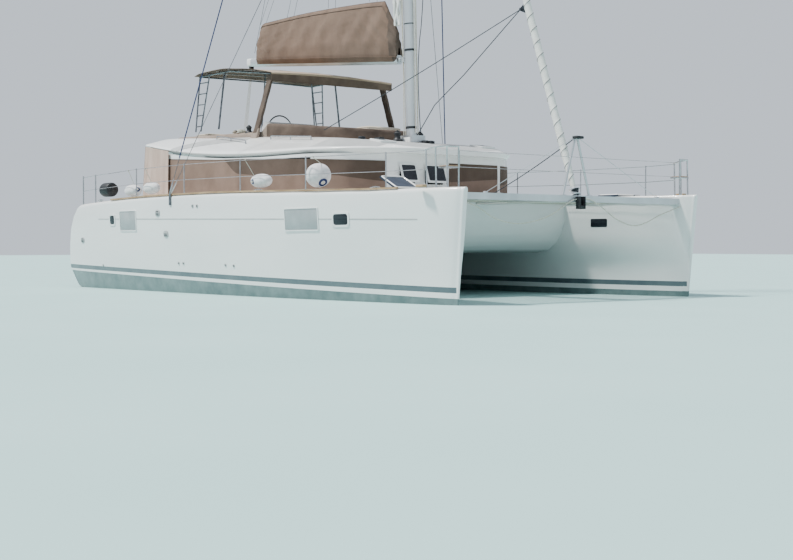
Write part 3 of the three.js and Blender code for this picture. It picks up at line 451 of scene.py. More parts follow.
# %% Wood, plastic and underwater finishes
teak = finish("teak", (0.42, 0.29, 0.18), 0.7)
clouds(teak, (0.30, 0.20, 0.12), (0.50, 0.36, 0.23), 0.06, 6.0, (0.12, 1, 1))
grain(teak, 0.01, 0.0008, 5.0, (0.1, 1, 1))
dark_plastic = finish("dark_plastic", (0.03, 0.032, 0.036), 0.5)
clouds(dark_plastic, (0.022, 0.024, 0.028), (0.045, 0.048, 0.052), 0.05)
grain(dark_plastic, 0.003, 0.0002)
cast_bronze = finish("cast_bronze", (0.42, 0.29, 0.13), 0.4, 0.9)
clouds(cast_bronze, (0.30, 0.22, 0.11), (0.50, 0.36, 0.17), 0.08)
grain(cast_bronze, 0.01, 0.0006)
drive_paint = finish("drive_paint", (0.30, 0.33, 0.35), 0.45)
clouds(drive_paint, (0.25, 0.28, 0.30), (0.36, 0.39, 0.41), 0.1)
bottom_paint = finish("bottom_paint", (0.10, 0.15, 0.165), 0.75)
clouds(bottom_paint, (0.08, 0.12, 0.135), (0.13, 0.18, 0.195), 0.4)
grain(bottom_paint, 0.02, 0.001)

print("wood, plastic and underwater finishes:", len(bpy.data.materials))

# %% [markdown]
# Every cloth has a colour that changes slowly, crossing threads as bump and a little sheen where
# the sun has bleached it. Rope and knitted covers are fluffy, so they are rough all over.

# %% Cloth and rope
sun_cloth = finish("sun_cloth", (0.42, 0.33, 0.24), 0.9, Sheen_Weight=0.3)
clouds(sun_cloth, (0.36, 0.28, 0.20), (0.47, 0.37, 0.27), 0.5)
weave(sun_cloth, 0.004, 0.002)
# The underside of the sun roof is painted dark as shade under the canopy.
shaded_under_cloth = finish("shaded_under_cloth", (0.16, 0.12, 0.09), 0.9)
clouds(shaded_under_cloth, (0.12, 0.09, 0.07), (0.20, 0.15, 0.115), 0.4)
weave(shaded_under_cloth, 0.004, 0.002)
bag_cloth = finish("bag_cloth", (0.205, 0.14, 0.105), 0.88, Sheen_Weight=0.08)
clouds(bag_cloth, (0.172, 0.116, 0.086), (0.24, 0.166, 0.126), 0.35, 4.0, (1, 1, 0.6))
weave(bag_cloth, 0.004, 0.003)
coaming_cloth = finish("coaming_cloth", (0.13, 0.095, 0.08), 0.9)
clouds(coaming_cloth, (0.10, 0.075, 0.062), (0.17, 0.13, 0.105), 0.3)
weave(coaming_cloth, 0.004, 0.002)
seat_cloth = finish("seat_cloth", (0.60, 0.54, 0.45), 0.85, Sheen_Weight=0.2)
clouds(seat_cloth, (0.55, 0.49, 0.40), (0.64, 0.58, 0.49), 0.25)
weave(seat_cloth, 0.003, 0.001)
side_curtain = finish("side_curtain", (0.55, 0.43, 0.37), 0.8)
clouds(side_curtain, (0.50, 0.385, 0.33), (0.60, 0.475, 0.41), 0.4, 3.0, (1, 1, 0.4))
weave(side_curtain, 0.004, 0.002)
sailcloth = finish("sailcloth", (0.74, 0.74, 0.71), 0.7)
clouds(sailcloth, (0.66, 0.66, 0.63), (0.79, 0.79, 0.76), 0.2, 4.0)
grain(sailcloth, 0.03, 0.002, 4.0, (1, 1, 0.4))
net_cord = finish("net_cord", (0.62, 0.62, 0.60), 0.8, Alpha=0.12)
clouds(net_cord, (0.55, 0.55, 0.53), (0.68, 0.68, 0.66), 0.2)
pale_rope = finish("pale_rope", (0.62, 0.60, 0.52), 0.85)
clouds(pale_rope, (0.50, 0.48, 0.41), (0.70, 0.68, 0.60), 0.03, 2.0)
grain(pale_rope, 0.006, 0.001, 1.0, (1, 1, 2))
dark_rope = finish("dark_rope", (0.035, 0.04, 0.05), 0.85)
clouds(dark_rope, (0.02, 0.024, 0.03), (0.07, 0.08, 0.095), 0.03, 2.0)
grain(dark_rope, 0.006, 0.001, 1.0, (1, 1, 2))
knit = finish("knit", (0.66, 0.65, 0.66), 0.95, Sheen_Weight=0.4)
clouds(knit, (0.60, 0.59, 0.60), (0.72, 0.71, 0.72), 0.08)
grain(knit, 0.008, 0.002)
navy = finish("navy", (0.03, 0.045, 0.12), 0.7)
clouds(navy, (0.02, 0.03, 0.09), (0.05, 0.07, 0.17), 0.05)
roof_grey = finish("roof_grey", (0.42, 0.43, 0.43), 0.5)
clouds(roof_grey, (0.38, 0.39, 0.39), (0.47, 0.48, 0.48), 0.4)
grain(roof_grey, 0.01, 0.0006)
print("finishes:", len(bpy.data.materials))

# %% [markdown]
# ### Hull paint
# The topsides carry a grey boot stripe, a white gap and then the bottom paint. All three edges
# rise a little towards the stern. A constant colour ramp over the height above such a sloping
# line gives crisp paint edges without cutting the mesh, and the stripe stops short of the bow.

# %% Hull paint
BOW_X, STRIPE_END_X = 6.9, 6.76
STRIPE_LOW_Z, STRIPE_HIGH_Z, BOTTOM_HIGH_Z = 0.205, 0.303, 0.108


def hull_paint(name, slope_top, slope_low):
    """slope_top and slope_low are the rise aft of the boot stripe and of the bottom paint."""
    made = finish(name, (0.8, 0.81, 0.8), 0.22, Coat_Weight=0.35, Coat_Roughness=0.08)
    white = clouds(made, (0.765, 0.775, 0.77), (0.82, 0.825, 0.815), 1.4, 4.0, (0.5, 1, 1.6))
    grain(made, 0.8, 0.0025, 1.0)
    where = add(made, "ShaderNodeTexCoord")
    split = add(made, "ShaderNodeSeparateXYZ")
    join_up(made, where.outputs["Object"], split.inputs[0])
    aft = sums(made, "SUBTRACT", BOW_X, split.outputs["X"])
    stripe = sums(made, "SUBTRACT", split.outputs["Z"], sums(made, "MULTIPLY", aft, slope_top))
    bottom = sums(made, "SUBTRACT", split.outputs["Z"], sums(made, "MULTIPLY", aft, slope_low))
    in_stripe = sums(made, "MULTIPLY", sums(made, "GREATER_THAN", stripe, STRIPE_LOW_Z),
                     sums(made, "LESS_THAN", stripe, STRIPE_HIGH_Z))
    in_stripe = sums(made, "MULTIPLY", in_stripe,
                     sums(made, "LESS_THAN", split.outputs["X"], STRIPE_END_X))
    is_bottom = sums(made, "LESS_THAN", bottom, BOTTOM_HIGH_Z)
    grey = ramp(made, noise(made, 0.5), [(0.3, (0.105, 0.14, 0.16)), (0.7, (0.15, 0.19, 0.205))])
    # The band under the boot stripe is a blotchy teal grey.
    bottom_tone = ramp(made, noise(made, 0.3, 5.0),
                 [(0.3, (0.12, 0.175, 0.18)), (0.7, (0.20, 0.26, 0.26))])
    last = white
    for factor, paint in ((in_stripe, grey), (is_bottom, bottom_tone)):
        blend = add(made, "ShaderNodeMix", data_type="RGBA")
        join_up(made, factor, blend.inputs["Factor"])
        join_up(made, last, blend.inputs["A"])
        join_up(made, paint, blend.inputs["B"])
        last = blend.outputs["Result"]
    join_up(made, last, made.node_tree.nodes["Principled BSDF"].inputs["Base Color"])
    return made


outer_paint = hull_paint("outer_paint", 0.0185, 0.022)
inner_paint = hull_paint("inner_paint", 0.0043, 0.0039)
print("hull paints:", outer_paint.name, inner_paint.name)

# %% [markdown]
# ## The hulls
# A hull is a skin through cross sections. The CAD loft has twelve of them, joined by straight
# lines. Here the same table is read through a smooth curve at many more stations, and each corner
# of a section is rounded, so that light rolls over the gunwale as it does on polished gelcoat.

# %% Hull sections
# Columns: station, outer sheer, outer waterline, inner waterline, inner deck, sheer height, keel.
HULL_TABLE = [
    (-6.95, 3.74, 3.60, 2.56, 2.42, 1.90, 0.02), (-6.07, 3.82, 3.66, 2.50, 2.36, 1.99, -0.17),
    (-4.5, 3.885, 3.70, 2.45, 2.28, 2.05, -0.36), (-2.5, 3.918, 3.72, 2.42, 2.25, 2.09, -0.47),
    (0, 3.915, 3.715, 2.42, 2.25, 2.095, -0.52), (2.0, 3.87, 3.65, 2.45, 2.25, 2.065, -0.52),
    (3.6, 3.76, 3.53, 2.54, 2.30, 2.035, -0.49), (4.9, 3.60, 3.39, 2.68, 2.44, 2.02, -0.43),
    (5.9, 3.42, 3.27, 2.82, 2.64, 2.025, -0.34), (6.5, 3.285, 3.185, 2.92, 2.81, 2.03, -0.23),
    (6.8, 3.185, 3.125, 2.985, 2.92, 2.03, -0.12), (6.93, 3.11, 3.08, 3.03, 2.99, 2.03, -0.06),
]
DECK_Z, STEM_Z = 2.02, 2.03
HULL_CENTRE_Y, BOW_ROUND = 3.055, 0.05
CORNER_RADII = [0.085, 0.28, 0.24, 0.2, 0.2, 0.2, 0.2, 0.15, 0.2, 0.2, 0.25, 0.22, 0.22, 0.14, 0.05]


def hull_section(row, pinch=0.0, ahead=0.0):
    x, sheer_y, water_y, in_water, in_deck, sheer_z, keel = row
    middle = (water_y + in_water) / 2
    fine = min(1.0, max(0.0, (x - 5.4) / 1.5))
    aft = min(1.0, max(0.0, (-6.07 - x) / 0.88))
    corners = [
        (sheer_y, sheer_z), (mix(sheer_y, water_y, 0.1), 1.48), (mix(sheer_y, water_y, 0.45), 0.8),
        (mix(sheer_y, water_y, 0.8), 0.3), (water_y, 0), (mix(water_y, middle, 0.22), keel * 0.6),
        (mix(water_y, middle, 0.65), keel * 0.93), (middle, keel),
        (mix(in_water, middle, 0.65), keel * 0.93), (mix(in_water, middle, 0.22), keel * 0.6),
        (in_water, 0), (in_water, 0.56), (mix(in_water, in_deck, 0.7), 0.9), (in_deck, 1.15),
        (in_deck, DECK_Z),
    ]
    ring = []
    for y, z in rounded(corners, CORNER_RADII, 4):
        rake = fine * 0.2 * (z - STEM_Z) / STEM_Z
        cut = aft * 0.38 * max(0.0, 0.48 - z) / 0.48
        ring.append((x + rake + cut + ahead, mix(y, HULL_CENTRE_Y, pinch),
                     max(z, keel * (1 - pinch * 0.6))))
    return ring


def hull_rings():
    rings = [hull_section(row) for row in curve_rows(HULL_TABLE, 6)]
    for k in range(1, 6):
        turn = math.radians(15 * k)
        rings.append(hull_section(HULL_TABLE[-1], 1 - math.cos(turn), BOW_ROUND * math.sin(turn)))
    return rings


HULL_RINGS = hull_rings()
print("hull sections:", len(HULL_RINGS), "of", len(HULL_RINGS[0]), "points")

# %% [markdown]
# The stern is cut down in steps to the water, and openings are cut for the engine bay and for the
# fore hatch. Exact booleans take the same boxes away that the CAD part takes away. Faces that look
# up get the deck finish, and the side that faces the tunnel gets its own paint lines.

# %% Hulls
STEPS = [(0.43, -6.32), (0.82, -5.96), (1.21, -5.60), (1.61, -5.24)]
TRANSOM = [(-7.1, 0.38), (-6.965, 0.43), (-6.94, 0.70), (-6.87, 1.05), (-6.74, 1.40), (-6.52, 1.70),
           (-6.25, 1.90), (-6.07, 1.985), (-6.07, 2.3), (-7.1, 2.3)]
# Columns: x from and to, y from and to, floor of the engine bay and of the fore hatch's well
WELLS = [(-4.9, -4.08, 2.86, 3.44, 0.3), (4.76, 5.23, 2.69, 3.16, 1.5)]
CUT_TOP = 2.4


def keel_rings():
    """The long stub keel with its flat sole."""
    def outline(front, back, w, z):
        spots = [(0, 0), (0.12, 0.75), (0.35, 1), (0.7, 0.75), (1, 0.2), (1, -0.2), (0.7, -0.75),
                 (0.35, -1), (0.12, -0.75)]
        flat = [(mix(front, back, t), 3.07 + w * s) for t, s in spots]
        return [(x, y, z) for x, y in rounded(flat, [0.05] * 9, 3)]
    return [outline(1.15, -1.35, 0.104, -1.3), outline(1.5, -1.5, 0.13, -0.38)]


def build_hull(side, name):
    def flip(rings):
        return [[(x, y * side, z) for x, y, z in ring] for ring in rings]
    hull = piece("hull_shell_" + name, *skin(flip(HULL_RINGS)), outer_paint, None)
    keel = piece("keel_" + name, *skin(flip(keel_rings())), bottom_paint)
    cuts = [cutter_box(-7.2, x, *sorted((2.1 * side, 3.56 * side)), z, CUT_TOP) for z, x in STEPS]
    cuts.append(cutter_prism(TRANSOM, *sorted((2.0 * side, 4.1 * side))))
    for x0, x1, y0, y1, floor_z in WELLS:
        cuts.append(cutter_box(x0, x1, *sorted((y0 * side, y1 * side)), floor_z, CUT_TOP))
    cut_away(hull, cuts)
    second_finish(hull, inner_paint, lambda f: abs(f.center.y) < 3.0 and f.normal.y * side < 0.2)
    second_finish(hull, deck_white, lambda f: f.normal.z > 0.8 and f.center.z > 0.35)
    shade(hull, 32)
    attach(hull, "boat")
    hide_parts("hull_" + name)
    return hull


HULLS = {side: build_hull(side, name) for side, name in SIDES.items()}
print("hull faces:", [len(h.data.polygons) for h in HULLS.values()])

# %% [markdown]
# ## Things fixed to the topsides
# Windows, vents and the groove line have to sit on the curved side. A ray cast from outboard finds
# the skin and its direction there, and each fitting is then built on that small tangent plane.

# %% Finding the hull's skin
def tree_of(thing):
    return BVHTree.FromPolygons([v.co.copy() for v in thing.data.vertices],
                                [tuple(p.vertices) for p in thing.data.polygons])


HULL_TREES = {side: tree_of(hull) for side, hull in HULLS.items()}


def on_hull(x, z, side, inside=False):
    """Point and outward direction on the hull's outer side, or on the side facing the tunnel."""
    start, way = (0.0, 1.0) if inside else (6.0, -1.0)
    hit, normal, _, _ = HULL_TREES[side].ray_cast(Vector((x, start * side, z)),
                                                  Vector((0, way * side, 0)))
    if normal.y * way * side > 0:
        normal = -normal
    return hit, normal


def outline(width, height, corner):
    w, h = width / 2, height / 2
    return rounded([(-w, -h), (w, -h), (w, h), (-w, h)], [corner] * 4, 4)


def plate_part(centre, normal, ring_in, ring_out, low, high, chamfer=0.003):
    """A plate, or a frame when ring_in is given, standing on the plane through centre."""
    normal = normal.normalized()
    along = Vector((1, 0, 0)) - normal * normal.x
    along.normalize()
    up = normal.cross(along)
    if up.z < 0:
        up = -up
    def at(ring, lift, grow=0.0):
        return [centre + along * (u - math.copysign(grow, u)) + up * (v - math.copysign(grow, v))
                + normal * lift for u, v in ring]
    rings = [at(ring_out, low), at(ring_out, high - chamfer), at(ring_out, high, chamfer)]
    if ring_in is None:
        return skin(rings)
    rings += [at(ring_in, high), at(ring_in, low)]
    return hoop(rings)


def strip_on_hull(name, x0, x1, height_at, width, lift, material, side):
    """A flat moulding that follows the side from x0 to x1."""
    rings = []
    for x in np.linspace(x0, x1, 71):
        spot, normal = on_hull(x, height_at(x), side)
        rings.append([spot + normal * a + above(b)
                      for a, b in ((-0.01, -width / 2), (lift, -width / 2), (lift, width / 2),
                                   (-0.01, width / 2))])
    return piece(name, *skin(rings), material)


print("hull skin at the middle:", [round(c, 3) for c in on_hull(0, 1.5, -1)[0]])

# %% [markdown]
# Each hull has two large pale panes with a fine frame, small opening ports with a dark pane, oval
# vents, and a narrow groove that runs along the side. All come from one short table.

# %% Windows, ports and vents in the topsides
# Columns: kind, x, z, width, height
SIDE_FITTINGS = [
    ("port", -4.31, 1.60, 0.26, 0.24), ("pane", -3.53, 1.57, 0.78, 0.45),
    ("pane", 3.12, 1.515, 0.98, 0.42), ("port", 4.22, 1.50, 0.42, 0.24),
    ("vent", -2.13, 1.72, 0.19, 0.145), ("vent", -1.82, 1.265, 0.2, 0.15),
    ("vent", -6.02, 1.14, 0.18, 0.13), ("drain", -0.64, 1.845, 0.07, 0.07),
    ("drain", -0.46, 1.84, 0.07, 0.07), ("drain", -5.0, 0.55, 0.05, 0.05),
    ("drain", -1.4, 0.64, 0.06, 0.06), ("drain", -1.2, 0.64, 0.06, 0.06),
    ("drain", 0.46, 0.62, 0.06, 0.06), ("drain", 0.76, 0.61, 0.06, 0.06),
]


def fit_side(side, name):
    frames, panes, dark, vents = [], [], [], []
    for kind, x, z, w, h in SIDE_FITTINGS:
        spot, normal = on_hull(x, z, side)
        if kind in ("pane", "port"):
            rim, corner = (0.022, 0.02) if kind == "pane" else (0.04, 0.05)
            frames.append(plate_part(spot, normal, outline(w - rim, h - rim, corner),
                                     outline(w + rim, h + rim, corner + 0.01), -0.03, 0.012))
            goal = panes if kind == "pane" else dark
            goal.append(plate_part(spot, normal, None, outline(w - rim, h - rim, corner), -0.03,
                                   0.004))
        elif kind == "vent":
            vents.append(plate_part(spot, normal, None, outline(w, h, h * 0.48), -0.03, 0.016,
                                    0.008))
            # The slits are open in the real vent; dark plates stand in them as painted shade.
            slit = outline(w * 0.62, h * 0.1, h * 0.04)
            for k in (-1, 0, 1):
                centre = spot + above(k * h * 0.24)
                dark.append(plate_part(centre, normal, None, slit, 0.0, 0.019, 0.001))
        else:
            vents.append(plate_part(spot, normal, outline(w * 0.5, w * 0.5, w * 0.25),
                                    outline(w, w, w * 0.48), -0.03, 0.014, 0.005))
            # The drain's hole is a dark plate, painted shade of the opening.
            dark.append(plate_part(spot, normal, None, outline(w * 0.5, w * 0.5, w * 0.24), -0.03,
                                   0.004))
    joined("window_frames_" + name, frames, shiny_white)
    part("hull_panes_" + name, panes, pane_grey)
    part("hull_ports_" + name, dark, smoked_glass)
    part("side_vents_" + name, vents, roof_grey)
    # The groove is a thin grey strip laid on the side, painted shade of the recess.
    strip_on_hull("side_groove_" + name, -5.05, 6.05, lambda x: 1.478 + (6.25 - x) * 0.0135, 0.02,
                  0.003, roof_grey, side)
    inner = on_hull(4.93, 1.485, side, True)
    ring = outline(0.40, 0.17, 0.03)
    part("tunnel_port_" + name, [plate_part(*inner, None, ring, -0.03, 0.006)],
         smoked_glass)


for side, name in SIDES.items():
    fit_side(side, name)
print("fittings on each side:", len(SIDE_FITTINGS))

# %% [markdown]
# ## CAD nodes that stay
# Spars, rails, walls and fittings keep their CAD shape. One modifier helps them: it welds the
# split corners of the imported mesh and shades it smooth up to an angle, which turns short facets
# into a round tube. The right finish does the rest.

# %% Finish the CAD nodes
def smooth_by_angle(angle):
    group = bpy.data.node_groups.new(f"smooth_{angle}", "GeometryNodeTree")
    group.interface.new_socket("Geometry", in_out="INPUT", socket_type="NodeSocketGeometry")
    group.interface.new_socket("Geometry", in_out="OUTPUT", socket_type="NodeSocketGeometry")
    start, end = group.nodes.new("NodeGroupInput"), group.nodes.new("NodeGroupOutput")
    weld = group.nodes.new("GeometryNodeMergeByDistance")
    weld.inputs["Distance"].default_value = 0.00005
    edge = group.nodes.new("GeometryNodeInputMeshEdgeAngle")
    flat = group.nodes.new("FunctionNodeCompare")
    flat.operation = "LESS_EQUAL"
    flat.inputs[1].default_value = math.radians(angle)
    edges = group.nodes.new("GeometryNodeSetShadeSmooth")
    edges.domain = "EDGE"
    faces = group.nodes.new("GeometryNodeSetShadeSmooth")
    group.links.new(start.outputs[0], weld.inputs["Geometry"])
    group.links.new(edge.outputs["Unsigned Angle"], flat.inputs[0])
    group.links.new(weld.outputs["Geometry"], edges.inputs["Geometry"])
    group.links.new(flat.outputs[0], edges.inputs["Shade Smooth"])
    group.links.new(edges.outputs["Geometry"], faces.inputs["Geometry"])
    group.links.new(faces.outputs["Geometry"], end.inputs[0])
    return group


ROUND = smooth_by_angle(42)
NODE_FINISH = {
    "bridge_deck": shiny_white, "deckhouse_side": shiny_white, "deckhouse_front": shiny_white,
    "deckhouse_bulkhead": shiny_white, "helm_console": shiny_white, "fore_beam": alloy,
    "walkway": deck_white, "bow_roller": dark_plastic, "beam_strut": alloy, "mast": alloy,
    "shrouds": dark_wire_and_shaded_frame, "rail": steel, "bow_wires": steel, "toe_rail": teak,
    # The sun roof frame is painted dark as shade under the canvas.
    "sun_roof_frame": dark_wire_and_shaded_frame, "boom": alloy, "saildrive": drive_paint, "propeller": cast_bronze,
    "rudder": bottom_paint, "engine": drive_paint, "helm_wheel": steel, "saloon_door": smoked_glass,
    "deck_hatch": acrylic, "glass_side": smoked_glass, "glass_front": smoked_glass,
    "engine_lid": deck_white,
}
for name, node in NODES.items():
    stem = name.removesuffix("_port").removesuffix("_starboard")
    node.data.materials.clear()
    node.data.materials.append(NODE_FINISH.get(stem, shiny_white))
    step = node.modifiers.new("round", "NODES")
    step.node_group = ROUND
print("finished nodes:", len(NODES))

# %% [markdown]
# ## The coachroof
# The roof is one moulding with a shaded lower lip, a bright rim and a long crown. It is a skin
# through sections again, close together where the brow turns round the front of the house. The
# well of the flybridge and the hollow over the saloon are cut out afterwards.

# %% Coachroof
# Columns: station, half width, height of the crown over the lip
ROOF_TABLE = [(3.23, 0.76, 0.108), (3.15, 1.30, 0.135), (2.90, 1.82, 0.19), (2.48, 2.23, 0.262),
              (1.90, 2.52, 0.34), (1.10, 2.70, 0.41), (0, 2.74, 0.474), (-1.3, 2.75, 0.513),
              (-2.5, 2.75, 0.481), (-3.3, 2.75, 0.441), (-3.9, 2.745, 0.395), (-4.6, 2.725, 0.311),
              (-4.9, 2.69, 0.21), (-5.1, 2.54, 0.11)]


def roof_low(x):
    return 2.87 + 0.44 * max(0.0, (0.9 - x) / 5.8) ** 2.3


def roof_section(row):
    x, half, crown = row
    low, lean = roof_low(x), min(1.0, crown / 0.43)
    side_points = [
        (half - 0.13 * lean - 0.04, low), (half, low + 0.09),
        (half - 0.06 * lean, low + 0.095 + (crown - 0.095) * 0.14),
        (half - 0.56 * lean, low + mix(0.095, crown, 0.74)), (half - 0.8 * lean, low + crown),
    ]
    corners = side_points + [(-y, z) for y, z in reversed(side_points)]
    radii = [0.012, 0.02, 0.05, 0.3, 0.25]
    return [(x, y, z) for y, z in rounded(corners, radii + radii[::-1], 4)]


roof_rows = curve_rows(ROOF_TABLE, 5)
roof_shell = piece("roof_shell", *skin([roof_section(row) for row in roof_rows]), shiny_white, None)
FRONT_DECK_X, WELL_HALF_WIDTH = 1.6, 1.72
WELL = [(0.75, -0.6), (0.75, 0.6), (-0.2, 1.35), (-1.5, 1.68), (-4.62, 1.68), (-4.62, -1.68),
        (-1.5, -1.68), (-0.2, -1.35)]
cut_away(roof_shell, [
    cutter_box(-4.95, 1.7, -1.85, 1.85, 2.5, 3.17),
    piece("cutter", *skin([[(x, y, z) for x, y in WELL] for z in (3.3, 4.0)]), None, None),
])
well_floor = joined("flybridge_floor", [box_part(-4.72, -3.0, -1.9, 1.9, 3.17, 3.3, 0.004)],
                    deck_white)
second_finish(roof_shell, roof_grey, lambda f: f.center.x > FRONT_DECK_X and f.normal.z > 0.9)
second_finish(roof_shell, deck_white, lambda f: f.center.x <= FRONT_DECK_X and f.normal.z > 0.93
              and abs(f.center.y) < WELL_HALF_WIDTH)
shade(roof_shell, 30)
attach(roof_shell, "boat")
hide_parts("coachroof")
ROOF_TREE = tree_of(roof_shell)
print("roof faces:", len(roof_shell.data.polygons))

# %% [markdown]
# On each shoulder of the roof a grey band climbs from the lip and runs forward, with two low
# handrails beside it. The band is a thin patch, laid on the roof by rays from outboard. The forward
# deck of the roof carries the mast step, winches, line stoppers and small hatches.

# %% Bands and handrails on the roof
def on_roof_side(x, z, side):
    start = Vector((x, 5.0 * side, max(z, roof_low(x) + 0.012)))
    hit, normal, _, _ = ROOF_TREE.ray_cast(start, Vector((0, -side, 0)))
    if hit is None:
        hit, normal, _, _ = ROOF_TREE.find_nearest(Vector((x, 2.1 * side, z)))
    return (hit, normal) if normal.y * side > 0 else (hit, -normal)


def roof_top(x, y):
    return ROOF_TREE.ray_cast(Vector((x, y, 5.0)), above(-1))[0]


def patch(name, upper, lower, side, material):
    """A thin patch between two lines of (x, z) on the roof's side."""
    rings = []
    for (xa, za), (xb, zb) in zip(curve_rows(upper, 6), curve_rows(lower, 6)):
        row = [on_roof_side(mix(xa, xb, t), mix(za, zb, t), side) for t in (0, 0.33, 0.67, 1)]
        rings.append([p + n * 0.006 for p, n in row] + [p - n * 0.01 for p, n in reversed(row)])
    return piece(name, *skin(rings), material)


def handrail(feet, radius=0.013):
    """A bent tube that stands on the roof on its two ends and on a leg in the middle."""
    lift, sink = above(0.075), above(0.05)
    line = [feet[0] - sink]
    line += [Vector(p) for p in rounded([tuple(feet[0] + lift * 0.2), tuple(feet[0] + lift),
                                         tuple(feet[1] + lift), tuple(feet[1] + lift * 0.2)],
                                        [0.03] * 4, 4, False)]
    line.append(feet[1] - sink)
    middle = (feet[0] + feet[1]) / 2
    return [bar(run, radius, 8) for run in (line, [middle - sink, middle + lift])]


for side, name in SIDES.items():
    patch("roof_band_" + name,
                  [(-3.75, 3.04), (-3.66, 3.20), (-3.42, 3.34), (-2.9, 3.42), (-2.1, 3.44),
                   (-1.3, 3.40)],
                   [(-3.38, 3.0), (-3.30, 3.13), (-3.14, 3.21), (-2.75, 3.27), (-2.1, 3.31),
                    (-1.3, 3.31)], side, roof_grey)
    rails = []
    for x0, x1 in ((-2.65, -1.05), (-0.4, 1.15)):
        rails += handrail([on_roof_side(x, roof_low(x) + rise, side)[0]
                           for x, rise in ((x0, 0.42), (x1, 0.33))])
    part("roof_handrails_" + name, rails, steel, "boat", 60)
print("roof bands and handrails made")

# %% [markdown]
# The gear on the forward roof is built from turned and rounded parts. A winch is a stack of rings
# of different radius, a coil of rope is one tube that winds round a centre with a little wobble.

# %% Winches, coils and hatches
def turned(centre, profile, sides=20, axis=(0, 0, 1)):
    """A solid of revolution from (radius, height) pairs."""
    axis = Vector(axis).normalized()
    u = axis.orthogonal().normalized()
    v = axis.cross(u)
    centre = Vector(centre)
    rings = []
    for radius, height in profile:
        rings.append([centre + axis * height + (u * math.cos(a) + v * math.sin(a)) * radius
                      for a in (2 * math.pi * k / sides for k in range(sides))])
    return skin(rings)


def winch_part(centre, size=1.0):
    shape = [(0.085, -0.01), (0.085, 0.02), (0.07, 0.035), (0.052, 0.06), (0.05, 0.10),
             (0.062, 0.125), (0.066, 0.14), (0.05, 0.155), (0.048, 0.17), (0.02, 0.175),
             (0.018, 0.19)]
    return turned(centre, [(r * size, h * size) for r, h in shape], 24)


def coil_line(centre, radius, turns, rise, wobble, seed):
    """Points of a rope that winds round a centre, each turn a little different from the last."""
    steps = int(turns * 14)
    out = []
    for k in range(steps + 1):
        t = k / steps
        a = 2 * math.pi * turns * t
        r = radius * (1 + wobble * math.sin(a * 0.37 + seed) + wobble * 0.6
                      * math.sin(a * 1.7 + seed * 2))
        out.append((centre[0] + math.cos(a) * r, centre[1] + math.sin(a) * r,
                    centre[2] + rise * t + wobble * 0.1 * radius * math.sin(a * 2.3)))
    return out


print("turned parts ready")

# %% [markdown]
# Each item of gear is set on the roof by a ray from above, so it stands on the real surface. The
# two hatches lean with the roof below them.

# %% Gear on the forward roof
step_z = roof_top(1.82, 0.4).z
stopper_z = roof_top(1.4, -0.5).z
plinth = box_part(1.60, 2.0, -0.2, 0.2, step_z - 0.08, step_z + 0.09, 0.02)
part("mast_plinth", [plinth], shiny_white)
winches = [winch_part((1.72, y, roof_top(1.72, y).z), 1.2) for y in (-0.31, 0.31)]
part("mast_winches", winches, dark_plastic)
deck_gear = [
    box_part(2.06, 2.20, 0.07, 0.16, step_z - 0.11, step_z + 0.02, 0.012),
    box_part(2.06, 2.20, 0.20, 0.29, step_z - 0.11, step_z + 0.02, 0.012),
    box_part(1.3, 1.5, -0.62, -0.48, stopper_z - 0.03, stopper_z + 0.06, 0.012),
]
part("line_stoppers", deck_gear, dark_plastic)
ropes = []
for x, y, radius, turns, seed in ((2.27, 0.18, 0.05, 4, 0.3), (1.25, -0.9, 0.07, 4, 0.9)):
    line = coil_line(roof_top(x, y) + above(0.012), radius, turns, 0.04, 0.10, seed)
    ropes.append(bar(line, 0.0085, 6))
part("roof_rope_coils", ropes, dark_rope, "boat", 60)

lids, lenses = [], []
ROOF_HATCH = 0.42
for x, y in ((2.55, 1.36), (2.55, -1.36)):
    spot = roof_top(x, y)
    normal = Vector((roof_top(x - 0.15, y).z - roof_top(x + 0.15, y).z,
                     roof_top(x, y - 0.15).z - roof_top(x, y + 0.15).z, 0.3)).normalized()
    hole = outline(ROOF_HATCH - 0.08, ROOF_HATCH - 0.08, 0.05)
    edge = outline(ROOF_HATCH, ROOF_HATCH, 0.06)
    lids.append(plate_part(spot, normal, hole, edge, -0.02, 0.04, 0.008))
    lenses.append(plate_part(spot, normal, None, hole, -0.02, 0.03))
part("roof_hatch_frames", lids, shiny_white)
part("roof_hatch_lenses", lenses, acrylic)
print("roof gear:", len(winches), "winches,", len(lids), "hatches")

# %% [markdown]
# ## Sun covers and front windows
# Mesh covers are snapped over the big windows. Such a cover is woven from coarse thread with open
# gaps between, so it looks dark where glass lies behind it and lighter over the white wall. Both
# tones are painted on the sheet: the dark one as shade of the glass and room behind, the light one
# as the lit wall behind. Each cover is one sheet with a little swell between its fasteners, and the
# two tones meet along the line of the window sill.

# %% Sheets with thickness
def slab(front, back):
    """A closed sheet from two grids of points with the same rows and columns."""
    rows, columns = len(front), len(front[0])
    verts = [tuple(p) for grid in (front, back) for row in grid for p in row]
    back_at = rows * columns
    faces = []
    for r in range(rows - 1):
        for c in range(columns - 1):
            a = r * columns + c
            quad = (a, a + 1, a + 1 + columns, a + columns)
            faces += [quad, tuple(back_at + i for i in reversed(quad))]
    rim = list(range(columns)) + [r * columns + columns - 1 for r in range(1, rows)]
    rim += [(rows - 1) * columns + c for c in range(columns - 2, -1, -1)]
    rim += [r * columns for r in range(rows - 2, 0, -1)]
    for a, b in zip(rim, rim[1:] + rim[:1]):
        faces.append((a, back_at + a, back_at + b, b))
    return verts, faces


def along(table, x):
    """Reads a table of (x, value) pairs, given from high x to low x."""
    xs = [row[0] for row in table][::-1]
    return float(np.interp(x, xs, [row[1] for row in table][::-1]))


print("sheet tools ready")

# %% [markdown]
# The covers follow the plan of the deckhouse. Tables give their lower hem, their upper hem and the
# line between the two tones, and a small swell between the fasteners keeps them from looking flat.

